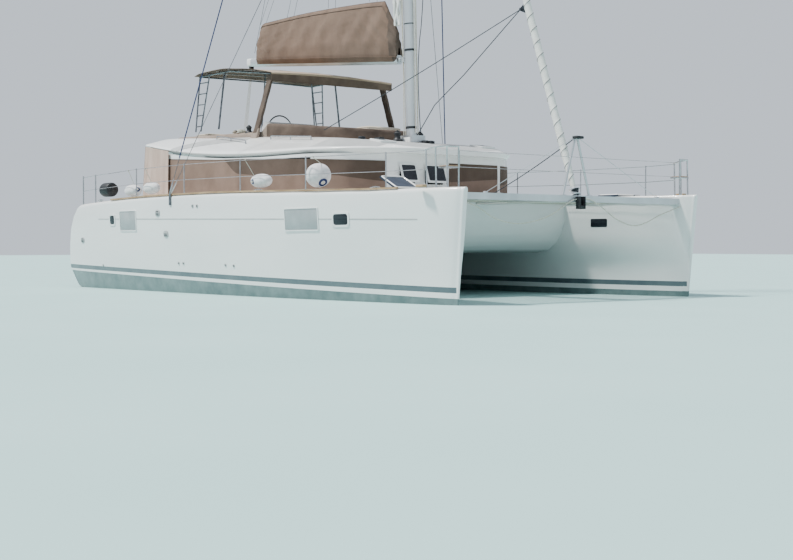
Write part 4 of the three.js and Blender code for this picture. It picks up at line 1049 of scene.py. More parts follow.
# %% Sun covers
# Painted tones of the mesh: dark as shade of the glass behind it, light as the lit wall behind it.
mesh_dark = finish("mesh_dark", (0.12, 0.088, 0.07), 0.85)
clouds(mesh_dark, (0.102, 0.074, 0.058), (0.14, 0.104, 0.084), 0.5)
weave(mesh_dark, 0.003, 0.0015)
mesh_light = finish("mesh_light", (0.235, 0.168, 0.135), 0.85)
clouds(mesh_light, (0.205, 0.145, 0.114), (0.27, 0.195, 0.158), 0.5)
weave(mesh_light, 0.003, 0.0015)

HOUSE_PLAN = [(3.0, 1.38), (2.76, 1.8), (2.45, 2.18), (2.05, 2.5), (1.6, 2.68), (0.9, 2.7),
              (-4.86, 2.7)]
COVER_LOW = [(2.9, 2.15), (-4.6, 2.18)]
COVER_HIGH = [(2.9, 2.712), (0.9, 2.80), (-0.4, 2.862), (-1.6, 2.90), (-4.6, 3.06)]
COVER_TONE = [(2.9, 2.30), (2.3, 2.42), (1.63, 2.451), (0.99, 2.449), (0.15, 2.481), (-0.8, 2.56),
              (-0.95, 2.62), (-1.31, 2.87), (-1.6, 2.88), (-4.6, 3.04)]


FRONT_LOW = [(1.375, 2.085), (0.02, 2.085)]
FRONT_HIGH = [(1.375, 2.712), (0.02, 2.712)]
FRONT_TONE = [(1.375, 2.415), (0.02, 2.32)]
ROWS, TONE_ROW = 14, 6


def cover(name, stations, lines, place, swell, hem=0.0):
    """lines are lower hem, tone line and upper hem. swell is its height, start and spacing."""
    low_line, tone_line, high_line = lines
    height, start, spacing = swell
    front, back = [], []
    for level in range(ROWS + 1):
        rows = ([], [])
        for s in stations:
            low, high = along(low_line, s), along(high_line, s)
            tone = min(max(along(tone_line, s), low + 0.01), high - 0.01)
            if level <= TONE_ROW:
                z = mix(low, tone, level / TONE_ROW)
            else:
                z = mix(tone, high, (level - TONE_ROW) / (ROWS - TONE_ROW))
            t = (z - low) / (high - low)
            wave = 0.6 + 0.4 * math.cos((s - start) * 2 * math.pi / spacing)
            edge = hem if t < 0.04 or t > 0.96 else 0.0
            rows[0].append(place(s, z, 0.0105 + height * math.sin(math.pi * t) * wave + edge))
            rows[1].append(place(s, z, 0.001))
        front.append(rows[0])
        back.append(rows[1])
    return piece(name, *slab(front, back), mesh_dark, "boat", 60)


STATIONS = sorted({round(x, 3) for x in np.linspace(2.9, -4.6, 90)}
                  | {2.76, 2.45, 2.05, 1.6, 0.9}, reverse=True)
for side, name in SIDES.items():
    def beside(x, z, lift):
        turn = 0.8 if x > 1.6 else 0.0
        return (x + lift * turn, side * (along(HOUSE_PLAN, x) + lift * 0.85), z)
    sheet = cover("sun_cover_" + name, STATIONS, (COVER_LOW, COVER_TONE, COVER_HIGH), beside,
                  (0.009, 2.9, 0.62), 0.003)
    # Below the tone line the sheet is painted light, as the lit wall behind the mesh.
    second_finish(sheet, mesh_light, lambda f: f.center.z < along(COVER_TONE, f.center.x))
    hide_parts("cover_side_" + name)
sheet = cover("sun_cover_front", np.linspace(0.02, 1.375, 40), (FRONT_LOW, FRONT_TONE, FRONT_HIGH),
              lambda y, z, lift: (3.0 + lift, y, z), (0.008, 0.02, 0.45))
second_finish(sheet, mesh_light, lambda f: f.center.z < along(FRONT_TONE, f.center.y))
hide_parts("cover_front")
print("covers made")

# %% [markdown]
# The two bare front windows stand open: a pane hangs from its top edge and leans out below.
# A pane is a glass plate in a white frame, with two thin struts back to the sill. A fixed white
# surround goes round each opening.

# %% Open front windows
OPEN_DEGREES, PANE_HEIGHT = 18, 0.40
lean = math.radians(OPEN_DEGREES)
normal = Vector((math.cos(lean), 0, math.sin(lean)))
down = Vector((math.sin(lean), 0, -math.cos(lean)))
frames, lights, struts = [], [], []
for y0, y1 in ((-1.30, -0.90), (-0.64, -0.14)):
    width = y1 - y0
    spot = Vector((3.018, (y0 + y1) / 2, 2.675)) + down * PANE_HEIGHT / 2
    ring_out = outline(width + 0.03, PANE_HEIGHT, 0.03)
    ring_in = outline(width - 0.05, PANE_HEIGHT - 0.08, 0.03)
    rows = []
    for ring, lift in ((ring_out, -0.012), (ring_out, 0.008), (ring_in, 0.012), (ring_in, -0.012)):
        rows.append([spot + Vector((0, u, 0)) - down * v + normal * lift for u, v in ring])
    frames.append(hoop(rows))
    lights.append(skin([[spot + Vector((0, u, 0)) - down * v + normal * lift for u, v in ring_in]
                        for lift in (-0.006, 0.004)]))
    foot = spot + down * PANE_HEIGHT * 0.42
    for y in (y0 + 0.03, y1 - 0.03):
        struts.append(bar([Vector((2.99, y, 2.33)), Vector((foot.x, y, foot.z))], 0.006, 8))
    ring, hole = [rounded([(y0 - g, 2.265 - g), (y1 + g, 2.265 - g), (y1 + g, 2.675 + g),
                           (y0 - g, 2.675 + g)], [corner] * 4, 4)
                           for g, corner in ((0.03, 0.05), (0.0, 0.04))]
    frames.append(hoop([[(x, y, z) for y, z in edge] for edge, x in (
        (ring, 2.995), (ring, 3.008), (hole, 3.012), (hole, 2.95))]))
part("front_window_frames", frames, shiny_white)
part("front_window_panes", lights, smoked_glass)
part("front_window_stays", struts, steel)
print("front windows open by", OPEN_DEGREES, "degrees")

# %% [markdown]
# ## The flybridge
# A padded cloth cover is laced over the coaming round the well. It is a skin through upright
# sections that follow the plan of the coaming from the stern round the front and back. Shallow
# folds run down it, and the cloth is darker forward, where it is stretched over the windscreen.

# %% Coaming cover
COAMING_OUT = [(1.25, 0.0), (1.15, 0.5), (0.85, 0.95), (0.4, 1.35), (-0.2, 1.65), (-0.9, 1.84),
               (-1.5, 1.9), (-3.0, 1.915), (-4.7, 1.93)]
COAMING_IN = [(0.97, 0.0), (0.90, 0.42), (0.65, 0.80), (0.22, 1.14), (-0.33, 1.41), (-0.96, 1.59),
              (-1.5, 1.66), (-3.0, 1.685), (-4.7, 1.70)]
COAMING_TOP = [(1.3, 3.50), (-0.2, 3.64), (-0.95, 3.70), (-1.15, 3.53), (-3.0, 3.57), (-4.8, 3.61)]

COAMING_FOOT_Z, DARK_CLOTH_X = 3.24, -0.95

coaming_rows = curve_rows([(*a, *b) for a, b in zip(COAMING_OUT, COAMING_IN)], 12)
sections = []
for side, rows in ((-1, coaming_rows[::-1]), (1, coaming_rows[1:])):
    for xo, yo, xi, yi in rows:
        travel = xo + yo * 0.6
        fold = 0.006 * math.sin(travel * 21) + 0.004 * math.sin(travel * 47 + 1)
        out = Vector((xo - xi, (yo - yi) * side, 0)).normalized()
        top = along(COAMING_TOP, xo)
        outer, inner = Vector((xo, yo * side, 0)), Vector((xi, yi * side, 0))
        ring = [outer + above(COAMING_FOOT_Z),
                outer + out * (fold - 0.004) + above(mix(COAMING_FOOT_Z, top, 0.5)),
                outer + out * fold + above(top - 0.07), outer - out * 0.018 + above(top - 0.018),
                outer - out * 0.06 + above(top + 0.003), inner + out * 0.05 + above(top),
                inner + out * 0.012 + above(top - 0.03), inner + above(top - 0.09),
                inner + above(COAMING_FOOT_Z)]
        sections.append(ring)
coaming = piece("coaming_cover", *skin(sections), coaming_cloth, "boat", 50)
taupe_cloth = finish("taupe_cloth", (0.30, 0.24, 0.20), 0.88, Sheen_Weight=0.2)
clouds(taupe_cloth, (0.26, 0.205, 0.165), (0.345, 0.28, 0.235), 0.4)
weave(taupe_cloth, 0.004, 0.002)
second_finish(coaming, taupe_cloth, lambda f: f.center.x < DARK_CLOTH_X)
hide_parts("flybridge_coaming")
print("coaming sections:", len(sections))

# %% [markdown]
# Cushions are blocks with a crowned top: rings of the same rounded outline shrink towards the
# middle while they rise, and the sides swell out between two seams. Each seam carries a thin
# round piping.

# %% Cushions
def cushion(name, x0, x1, y0, y1, z0, z1, crown=0.03):
    """A stuffed block between two corners, with its crown inside the upper height."""
    cx, cy, wide, long = (x0 + x1) / 2, (y0 + y1) / 2, x1 - x0, y1 - y0
    tall = z1 - z0 - crown
    def ring(inset, z):
        w, h = wide / 2 - inset, long / 2 - inset
        corner = max(0.02, min(w, h) * 0.3)
        return [(cx + u, cy + v, z) for u, v in rounded([(-w, -h), (w, -h), (w, h), (-w, h)],
                                                        [corner] * 4, 5)]
    reach = min(wide, long) / 2
    rings = [ring(0.05, z0), ring(0.016, z0 + 0.002), ring(0.008, z0 + tall * 0.12),
             ring(0.0, z0 + tall * 0.5), ring(0.008, z0 + tall * 0.88), ring(0.018, z0 + tall)]
    for t in (0.12, 0.25, 0.45, 0.7, 0.92):
        rings.append(ring(0.018 + (reach - 0.03) * t,
                          z0 + tall + crown * math.sin(t * math.pi / 2) ** 0.8))
    pad = piece(name, *skin(rings), seat_cloth, "boat", 60)
    for level in (0.12, 0.88):
        seam = ring(0.004, z0 + tall * level)
        tube(name + f"_piping_{int(level * 100)}", seam + [seam[0]], 0.005, seat_cloth, "boat", 6)


flybridge_base = joined("flybridge_benches",
                        [box_part(-3.9, -0.6, 0.95, 1.59, 3.302, 3.55, 0.02),
                         box_part(-4.56, -3.9, -1.59, 1.59, 3.302, 3.55, 0.02),
                         box_part(-0.6, 0.12, 0.95, 1.15, 3.302, 3.55, 0.02),
                         box_part(-0.35, 0.15, 0.1, 1.1, 3.302, 3.55, 0.02),
                         box_part(-3.46, -2.96, -1.15, 0.15, 3.302, 3.52, 0.02),
                         box_part(-4.6, 0.3, -1.15, 1.15, 3.301, 3.314, 0.004)], shiny_white)
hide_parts("flybridge_seats")
for k, (x0, x1) in enumerate(((-3.88, -2.82), (-2.80, -1.74), (-1.72, -0.62))):
    cushion(f"flybridge_side_cushion_{k}", x0, x1, 0.96, 1.58, 3.55, 3.70)
for k, (y0, y1) in enumerate(((-1.58, -0.54), (-0.52, 0.52), (0.54, 1.58))):
    cushion(f"flybridge_aft_cushion_{k}", -4.47, -3.91, y0, y1, 3.55, 3.70)
cushion("flybridge_front_cushion", -0.34, 0.14, 0.11, 1.09, 3.55, 3.70)
cushion("helm_seat_cushion", -3.41, -2.97, -1.13, 0.13, 3.52, 3.66)
cushion("helm_seat_back", -3.52, -3.42, -1.14, 0.14, 3.50, 3.75, crown=0.02)
print("flybridge cushions made")

# %% [markdown]
# The steering console is a white moulding with a sloping dash. Two dark screens, a compass dome
# and engine levers sit on the dash, all plain shapes with nothing written on them.

# %% Steering console
console_side = rounded([(-2.23, 3.316), (-2.23, 3.72), (-2.12, 3.85), (-1.95, 3.85), (-1.70, 3.56),
                        (-1.70, 3.316)], [0.01, 0.05, 0.05, 0.06, 0.05, 0.01], 5)
middle = (-1.97, 3.58)
rings = []
for y, inset in ((-1.15, 0.03), (-1.138, 0.008), (-1.12, 0.0), (0.13, 0.0), (0.148, 0.008),
                 (0.16, 0.03)):
    rings.append([(x + (middle[0] - x) * inset, y, z + (middle[1] - z) * inset)
                  for x, z in console_side])
console = piece("console_shell", *skin(rings), shiny_white)
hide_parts("helm_console")
dash_normal = Vector((-0.76, 0, 0.65))
screens = []
uphill = Vector((0, 1, 0)).cross(dash_normal).normalized()
w, h = 0.36 / 2, 0.13 / 2
ring = rounded([(-w, -h), (w, -h), (w, h), (-w, h)], [0.015] * 4, 3)
for y in (-0.82, -0.18):
    spot = Vector((-2.175, y, 3.785))
    screens.append(skin([[spot + Vector((0, u, 0)) + uphill * v + dash_normal * lift
                          for u, v in ring] for lift in (-0.01, 0.012)]))
part("console_screens", screens, smoked_glass)
dome = turned((-2.175, -0.5, 3.78),
              [(0.05, 0), (0.05, 0.015), (0.045, 0.035), (0.03, 0.05), (0.01, 0.056)], 20,
              dash_normal)
levers = [bar([(-2.17, y, 3.77), (-2.235, y, 3.83), (-2.25, y, 3.835)], 0.01, 8)
          for y in (0.05, 0.09)]
part("console_compass_and_levers", [dome] + levers, dark_plastic)
print("console made")

# %% [markdown]
# ## The sun roof
# The canvas is one continuous sheet over bowed tubes. It curves across the boat, dips between the
# bows, and turns down in front as a deep valance. The lower face looks down into shade and is
# painted dark as that shade, and the valance is darker below its light band, so front and back
# faces get different finishes.

# %% Sun roof
SUN_ROOF = [(-4.3, 5.05, 1.69), (-3.9, 5.085, 1.75), (-3.0, 5.10, 1.75), (-2.4, 5.05, 1.75),
            (-1.7, 4.97, 1.75), (-1.0, 4.84, 1.70)]
BOWS = (-1.2, -2.8, -4.15)
CROWN, CLOTH, VALANCE = 0.055, 0.006, 0.178
roof_cloth_rows = curve_rows(SUN_ROOF, 9)
upper, lower = [], []
acrosses = np.linspace(-1, 1, 33)
for x, z, half in roof_cloth_rows:
    nearest = min(abs(x - b) for b in BOWS)
    dip = 0.012 * math.sin(min(1, nearest / 0.75) * math.pi / 2)
    def crown_of(s):
        return z + CROWN * (1 - s * s) - dip * (1 - s ** 4)
    upper.append([(x, half * s, crown_of(s)) for s in acrosses])
    lower.append([(x, half * s, crown_of(s) - CLOTH) for s in acrosses])
x, z, half = roof_cloth_rows[-1]
for drop in (0.012, 0.04, 0.08, 0.12, 0.16, VALANCE):
    t = drop / VALANCE
    def hang(s, lift):
        flute = 0.006 * t * math.sin(s * 26)
        return (x + 0.008 + lift + flute, half * s * (1 - 0.004 * t),
                z + CROWN * (1 - s * s) * (1 - t) - drop)
    upper.append([hang(s, CLOTH / 2) for s in acrosses])
    lower.append([hang(s, -CLOTH / 2) for s in acrosses])
canvas = piece("sun_roof_canvas", *slab(upper, lower), sun_cloth, "boat", 50)
grid_faces = 2 * (len(upper) - 1) * (len(acrosses) - 1)


def looks_dark(face):
    """The lower face of the sheet, painted dark as shade, and the valance below its light band."""
    c = face.center
    below = face.index < grid_faces and face.index % 2 == 1
    return below or (c.x > x and c.z < z + CROWN * (1 - (c.y / half) ** 2) - 0.045)


# The lower face gets the dark cloth as painted shade.
second_finish(canvas, shaded_under_cloth, looks_dark)
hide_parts("sun_roof")
print("sun roof rows:", len(upper))

# %% [markdown]
# Hems run round the canvas and along it, and thin battens hold it up between the bows. The front
# legs of the frame wear cloth sleeves, which are laced into thicker boots at the foot.

# %% Hems, battens and leg covers
seams = []
for s in (-0.5, 0.0, 0.5):
    seams.append(bar([(row[0], row[2] * s, row[1] + CROWN * (1 - s * s) - 0.01)
                      for row in roof_cloth_rows], 0.006, 6))
for end in (upper[0], upper[-1]):
    seams.append(bar(end, 0.007, 6))
for s in (0, -1):
    seams.append(bar([row[s] for row in upper], 0.007, 6))
part("sun_roof_hems", seams, shaded_under_cloth, "boat", 60)
battens = []
for bow in (-1.75, -2.3, -3.25, -3.7):
    z = along(SUN_ROOF[::-1], bow) - 0.028
    battens.append(bar([(bow, 1.72 * s, z + CROWN * (1 - s * s)) for s in np.linspace(-1, 1, 17)],
                       0.009, 8))
part("sun_roof_battens", battens, steel, "boat", 60)


LEG_X, LEG_FOOT, LEG_HEAD = -1.2, (2.085, 3.12), (1.555, 4.83)


def leg_ring(z, side, grow_x, grow_y):
    """The rounded outline of a front leg's cloth at a height."""
    y = side * mix(LEG_FOOT[0], LEG_HEAD[0], (z - LEG_FOOT[1]) / (LEG_HEAD[1] - LEG_FOOT[1]))
    return [(LEG_X + u, y + v, z) for u, v in outline(0.17 + grow_x, 0.05 + grow_y, 0.03)]


sleeves, feet = [], []
for side in SIDES:
    sleeves.append(skin([leg_ring(z, side, 0.012 + 0.005 * math.sin(z * 19),
                                  0.02 + 0.008 * math.sin(z * 13))
                                  for z in np.linspace(3.5, 4.82, 34)]))
    feet.append(skin([leg_ring(z, side, grow, grow * 0.5)
                      for z, grow in ((3.12, 0.14), (3.2, 0.13), (3.3, 0.12), (3.4, 0.085),
                              (3.5, 0.05), (3.58, 0.035), (3.6, 0.025))]))
part("sun_roof_leg_sleeves", sleeves, coaming_cloth, "boat", 50)
part("sun_roof_leg_boots", feet, taupe_cloth, "boat", 50)
print("battens:", len(battens), "leg covers:", len(sleeves))

# %% [markdown]
# ## The stowed mainsail
# The sail lies in folds on the boom inside a cloth bag. The bag is a skin through sections that
# lean with the ends of the sail, and its folds are waves along slanted lines, deepest midway down
# its sides. The white folds of the sail show where the bag stays open.

# %% Boom line and sail bag
BOOM_PIVOT, BOOM_END = (1.57, 4.99), (-4.51, 5.543)
BAG_FRONT_X, BAG_BODY = 0.98, "boom_and_bag"
# Columns: x, height of the top over the boom, half width low and high
BAG = [(1.4, 0.60, 0.09, 0.04), (0.98, 1.27, 0.20, 0.07), (0, 1.24, 0.215, 0.08),
       (-2.0, 1.12, 0.20, 0.075), (-3.93, 0.93, 0.16, 0.06), (-4.03, 0.89, 0.12, 0.04)]


def boom_at(x):
    return mix(BOOM_PIVOT[1], BOOM_END[1], (BOOM_PIVOT[0] - x) / (BOOM_PIVOT[0] - BOOM_END[0]))


def bag_rows():
    first = np.array(BAG[:2])
    front = [first[0] * (1 - t) + first[1] * t for t in np.linspace(0, 1, 8)]
    return front + list(curve_rows(BAG[1:5], 16)[1:]) + [np.array(BAG[5])]


def bag_point(row, u, lift=0.0):
    """u runs from -1, the starboard foot, over the top at 0 to 1, the port foot."""
    x, high, low, top = row
    z = boom_at(x)
    side = -1 if u < 0 else 1
    shape = [(0.0, 0.0, high), (0.12, top * 0.4, high), (0.2, top, high * 0.92),
             (0.45, mix(low, top, 0.45), high * 0.65), (0.75, low * 1.05, high * 0.3),
             (0.93, low, 0.06), (1.0, low * 0.62, -0.05)]
    us, ys, zs = (np.array(c) for c in zip(*shape))
    a = abs(u)
    y, rise = float(np.interp(a, us, ys)), float(np.interp(a, us, zs))
    lean = rise * mix(-0.07, 0.11, (BAG_FRONT_X - x) / 5.06)
    envelope = math.sin(math.pi * min(1, max(0, (a - 0.1) / 0.85)))
    fold = 0.016 * math.sin((x - rise * 0.75) * 9.5 + side)
    fold += 0.011 * math.sin((x + rise * 1.2) * 17 + 2 * side)
    fold += 0.006 * math.sin((x * 1.6 - rise) * 41)
    return (x + lean, side * (y + lift + fold * envelope), z + rise + lift * (1 - a))


BAG_US = np.linspace(-1, 1, 49)
rows = bag_rows()
bag = piece("sail_bag_cloth", *slab([[bag_point(r, u) for u in BAG_US] for r in rows],
                                    [[bag_point(r, u, -0.004) for u in BAG_US] for r in rows]),
            bag_cloth, BAG_BODY, 60)
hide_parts("sail_bag")
# The forward end of the bag faces away from the sun and gets the darker cloth as painted shade.
second_finish(bag, coaming_cloth,
              lambda f: f.center.x > BAG_FRONT_X + 0.26 * (6.3 - f.center.z) / 1.2)
print("bag rows:", len(rows))

# %% [markdown]
# The ends of the bag are closed by panels, and the seams and the foot tape repeat its own lines.
# A few thick white folds of the sail fill its front end.

# %% Ends, seams and folds of the bag
panels = []
for row, way in ((BAG[0], 0.006), (BAG[5], -0.006)):
    edge = [bag_point(np.array(row), u) for u in BAG_US]
    centre = np.mean(np.array(edge), axis=0)
    face = [tuple(centre + (np.array(p) - centre) * s + np.array((way * (1 - s) * 3, 0, 0)))
            for s in (1.0, 0.6, 0.2) for p in edge]
    count = len(edge)
    faces = [(r * count + i, r * count + i + 1, (r + 1) * count + i + 1, (r + 1) * count + i)
             for r in range(2) for i in range(count - 1)]
    faces.append(tuple(2 * count + i for i in range(count)))
    panels.append((face, faces))
part("sail_bag_ends", panels, coaming_cloth, BAG_BODY, 60)

trim = []
for u in (-0.2, 0.2):
    trim.append(bar([bag_point(r, u, 0.005) for r in rows], 0.006, 6))
trim.append(bar([bag_point(r, 0.0, 0.008) for r in rows], 0.009, 6))
part("sail_bag_seams", trim, coaming_cloth, BAG_BODY, 60)
low_trim = [bar([bag_point(r, u, 0.005) for r in rows], 0.007, 6) for u in (-0.93, 0.93)]
part("sail_bag_foot_tape", low_trim, bag_cloth, BAG_BODY, 60)

folds = []
for k in range(6):
    line = [(1.22 + 0.04 * k + 0.016 * math.sin(j * 0.9 + k * 1.7),
             0.035 * math.sin(k * 2.3 + j * 0.3), 5.74 + 0.056 * j) for j in range(11)]
    folds.append(bar(line, 0.02 + 0.004 * math.sin(k * 2.1), 8, 1.6))
part("sail_folds", folds, sailcloth, BAG_BODY, 60)
print("bag ends:", len(panels), "folds:", len(folds))

# %% [markdown]
# ## The rolled foresail
# A furled sail is a long thin roll round its stay. Its sun strip shows as a dark line that winds
# up the roll, and the free corner makes a slight ridge along the same helix.

# %% Foresail
STAY_FOOT, STAY_HEAD = Vector((6.54, 0, 2.12)), Vector((1.556, 0, 16.44))
axis = (STAY_HEAD - STAY_FOOT).normalized()
across = Vector((0, 1, 0))
front_way = axis.cross(across)
ROLL_STEPS, ROLL_SIDES, ROLL_TURNS = 660, 18, 55


def roll_radius(t):
    """Thick near the clew, thin at both ends."""
    return float(np.interp(t, [0, 0.04, 0.5, 0.94, 1], [0.05, 0.077, 0.072, 0.038, 0.022]))


rings = []
for t in np.linspace(0, 1, ROLL_STEPS + 1):
    radius = roll_radius(t)
    centre = STAY_FOOT.lerp(STAY_HEAD, t)
    ring = []
    for a in np.linspace(0, 2 * math.pi, ROLL_SIDES + 1)[:-1]:
        turn = a - t * 2 * math.pi * ROLL_TURNS
        ridge = 0.07 * max(0.0, math.cos(turn)) ** 4 + 0.02 * math.sin(3 * a + t * 90)
        ring.append(centre + (across * math.cos(a) + front_way * math.sin(a)) * radius
                    * (0.95 + ridge))
    rings.append(ring)
roll = piece("foresail_roll", *skin(rings), sailcloth, "boat", 60)
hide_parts("furled_foresail")
spiral = []
for t in np.linspace(0, 1, ROLL_STEPS * 2 + 1):
    a = t * 2 * math.pi * ROLL_TURNS
    centre = STAY_FOOT.lerp(STAY_HEAD, t)
    spiral.append(centre + (across * math.cos(a) + front_way * math.sin(a)) * roll_radius(t) * 1.02)
tube("foresail_leech_line", spiral, 0.0045, dark_rope, "boat", 5)
drum = [turned((6.6, 0, 1.955),
               [(0.03, 0), (0.1, 0.005), (0.105, 0.012), (0.105, 0.02), (0.06, 0.03), (0.058, 0.10),
                (0.105, 0.11), (0.105, 0.125), (0.07, 0.14), (0.03, 0.19)], 24, axis),
                bar([(6.605, 0, 1.9505), (6.59, 0, 2.0)], 0.018, 10)]
part("furling_drum", drum, alloy, "boat", 30)
furl_line = [Vector((6.59, 0, 2.02))
             + Vector((math.cos(a) * 0.064, math.sin(a) * 0.064, a * 0.0022))
             for a in np.linspace(0, 2 * math.pi * 5, 90)]
tube("furling_line", furl_line, 0.006, dark_rope, "boat", 6)
print("foresail roll:", len(rings), "rings")

# %% [markdown]
# ## Nets
# A net is laced between the beam, the hull and the walkway. From a few metres away it reads as a
# faint sheet that hangs down a little. So a nearly clear sheet carries a lattice of thin cords, and
# a bolt rope runs round its edge.

# %% Nets
# Columns: x and the y of the deck's edge there
NET_EDGE = [(4.06, 2.346), (4.9, 2.44), (5.9, 2.64), (6.5, 2.81), (6.55, 2.82)]
NET_AFT, NET_LENGTH, NET_Z, NET_SAG = 4.075, 2.45, 1.894, 0.035
NET_ROWS, NET_COLUMNS = 36, 30


def net_cord_line(line):
    """One thin cord of the lattice, laid just over the sheet."""
    return bar([(x, y, z + 0.002) for x, y, z in line], 0.005, 4)


for side, name in SIDES.items():
    top, under = [], []
    for x in np.linspace(NET_AFT, NET_AFT + NET_LENGTH, NET_ROWS):
        outer = float(np.interp(x, *zip(*NET_EDGE))) - 0.02
        t = (x - NET_AFT) / NET_LENGTH
        row = []
        for s in np.linspace(0, 1, NET_COLUMNS):
            sag = NET_SAG * math.sin(math.pi * s) * math.sin(math.pi * t)
            row.append((x, side * mix(0.2, outer, s), NET_Z - sag))
        top.append(row)
        under.append([(x, y, z - 0.005) for x, y, z in row])
    net = piece("net_cloth_" + name, *slab(top, under), net_cord, "boat", 60)
    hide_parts("net_" + name)
    border = [row[0] for row in top] + top[-1][1:]
    border += [row[-1] for row in top[-2::-1]] + top[0][-2::-1]
    hem = tube("net_border_" + name, [(x, y, z - 0.002) for x, y, z in border], 0.011, pale_rope)
    lattice = [net_cord_line(row[::2] + [row[-1]]) for row in top[1:-1]]
    lattice += [net_cord_line([row[k] for row in top[::2] + [top[-1]]])
                for k in range(1, NET_COLUMNS - 1)]
    webbing = joined("net_webbing_" + name, lattice, pale_rope, "boat", 60)
print("nets made, cords in each:", len(lattice))

# %% [markdown]
# ## Bridle
# The bridle is a pair of slack lines. Each hangs in the curve of its CAD route at full length.

# %% Bridle
# Columns of a route: y, z. Each line's length in metres follows its route.
BRIDLE_X = 6.702
BRIDLES = {
    "starboard": ([(-2.915, 1.800), (-2.535, 1.690), (-2.160, 1.509), (-1.650, 1.417),
                   (-1.150, 1.467), (-0.710, 1.598), (-0.260, 1.830), (-0.0754, 1.880)], 2.994),
    "port": ([(0.0754, 1.885), (0.290, 1.875), (0.590, 1.748), (1.000, 1.526), (1.460, 1.406),
              (1.840, 1.458), (2.280, 1.619), (2.915, 1.800)], 3.0),
}
for name, (route, length) in BRIDLES.items():
    points = [(BRIDLE_X, float(y), float(z)) for y, z in curve_rows(route, 10)]
    line = tube("bridle_rope_" + name, points, 0.009, pale_rope, "boat", 10)
    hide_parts("bridle_" + name)
    print("bridle", name, length)

# %% [markdown]
# ## Fenders
# Four inflated fenders in knitted covers lie along the starboard rail, each held by a thin line
# from the upper wire. A fender is a round body whose cover is gathered at both ends, so small
# pleats grow towards the ends, and a navy ring with a rope knot closes the cover.

# %% Fenders
# Columns: centre, length, radius, eye and tie of its line along X, place of the navy ring
FENDERS = {
    "a": ((1.59, -3.66, 2.30), 0.62, 0.135, -0.24, -0.33, (-0.13, -0.12, -0.02)),
    "b": ((3.21, -3.44, 2.35), 0.46, 0.228, 0.12, 0.20, (0.18, -0.023, -0.142)),
    "c": ((-3.65, -3.69, 2.26), 0.60, 0.135, 0.06, 0.06, (0.28, -0.036, 0.016)),
    "d": ((-2.79, -3.69, 2.29), 0.58, 0.13, 0.0, 0.0, (-0.27, -0.04, 0.0)),
}
WIRE_POSTS = (-6.0, -5.3, -3.2, -1.08, 1.08, 3.2, 5.3, 6.22)
RAIL_HEIGHT, FULLNESS, PLEATS = 0.66, 2.4, 8
SHEER_Y, SHEER_Z = 1, 5


def sheer(x, column):
    """The hull's upper edge at x: its y or its z, read from the hull's table."""
    return float(np.interp(x, [row[0] for row in HULL_TABLE], [row[column] for row in HULL_TABLE]))


def upper_wire(x):
    """A point of the upper wire of the starboard rail."""
    ys = [sheer(p, SHEER_Y) - (0.055 if p < -5 or p > 6 else 0.06) for p in WIRE_POSTS]
    zs = [sheer(p, SHEER_Z) + RAIL_HEIGHT * 0.97 for p in WIRE_POSTS]
    return Vector((x, -float(np.interp(x, WIRE_POSTS, ys)), float(np.interp(x, WIRE_POSTS, zs))))


def fender_radius(t, radius):
    """t runs from -1 to 1 along the fender."""
    return radius * (1 - abs(t) ** FULLNESS) ** (1 / FULLNESS)


for name, (centre, long, radius, eye, tie, ring_at) in FENDERS.items():
    centre = Vector(centre)
    rings = []
    for t in np.linspace(-0.997, 0.997, 33):
        gather = 0.05 * max(0.0, (abs(t) - 0.5) / 0.5)
        ring = []
        for a in np.linspace(0, 2 * math.pi, 49)[:-1]:
            r = fender_radius(t, radius) * (1 - gather * math.cos(PLEATS * a) ** 2)
            ring.append(centre + Vector((t * long / 2, math.cos(a) * r, math.sin(a) * r)))
        rings.append(ring)
    body = piece("fender_cover_" + name, *skin(rings), knit, "boat", 60)
    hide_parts("fender_" + name)
    out = Vector((ring_at[0] / (long / 2) ** 2, ring_at[1] / radius ** 2,
                  ring_at[2] / radius ** 2)).normalized()
    spot = centre + Vector(ring_at)
    size = radius / 0.135
    collar = turned(spot - out * 0.012,
                    [(0.05 * size, 0), (0.052 * size, 0.012), (0.046 * size, 0.02),
                     (0.028 * size, 0.021), (0.024 * size, 0.012)], 24, out)
    part("fender_ring_" + name, [collar], navy, "boat", 50)
    knot = turned(spot, [(0.018 * size, 0), (0.02 * size, 0.012), (0.012 * size, 0.024),
                         (0.003, 0.027)], 12, out)
    top = centre + Vector((eye, 0, fender_radius(eye / (long / 2), radius) - 0.012))
    tied = upper_wire(centre.x + tie)
    loop = [tied + Vector((0.006 * math.sin(a * 3), math.cos(a) * 0.012, math.sin(a) * 0.012))
            for a in np.linspace(0, 2 * math.pi, 13)]
    line = [tied - above(0.012), tied.lerp(top, 0.5), top]
    part("fender_line_" + name, [knot, bar(loop, 0.006, 8), bar(line, 0.006, 8)], pale_rope,
         "boat", 60)
print("fenders:", len(FENDERS))

# %% [markdown]
# ## Cockpit and saloon
# Through the bare windows and from astern the rooms are open to view. Benches are white mouldings
# with loose cushions, and the tables and the floor are teak. The galley has a worktop with plain
# wooden doors below it.

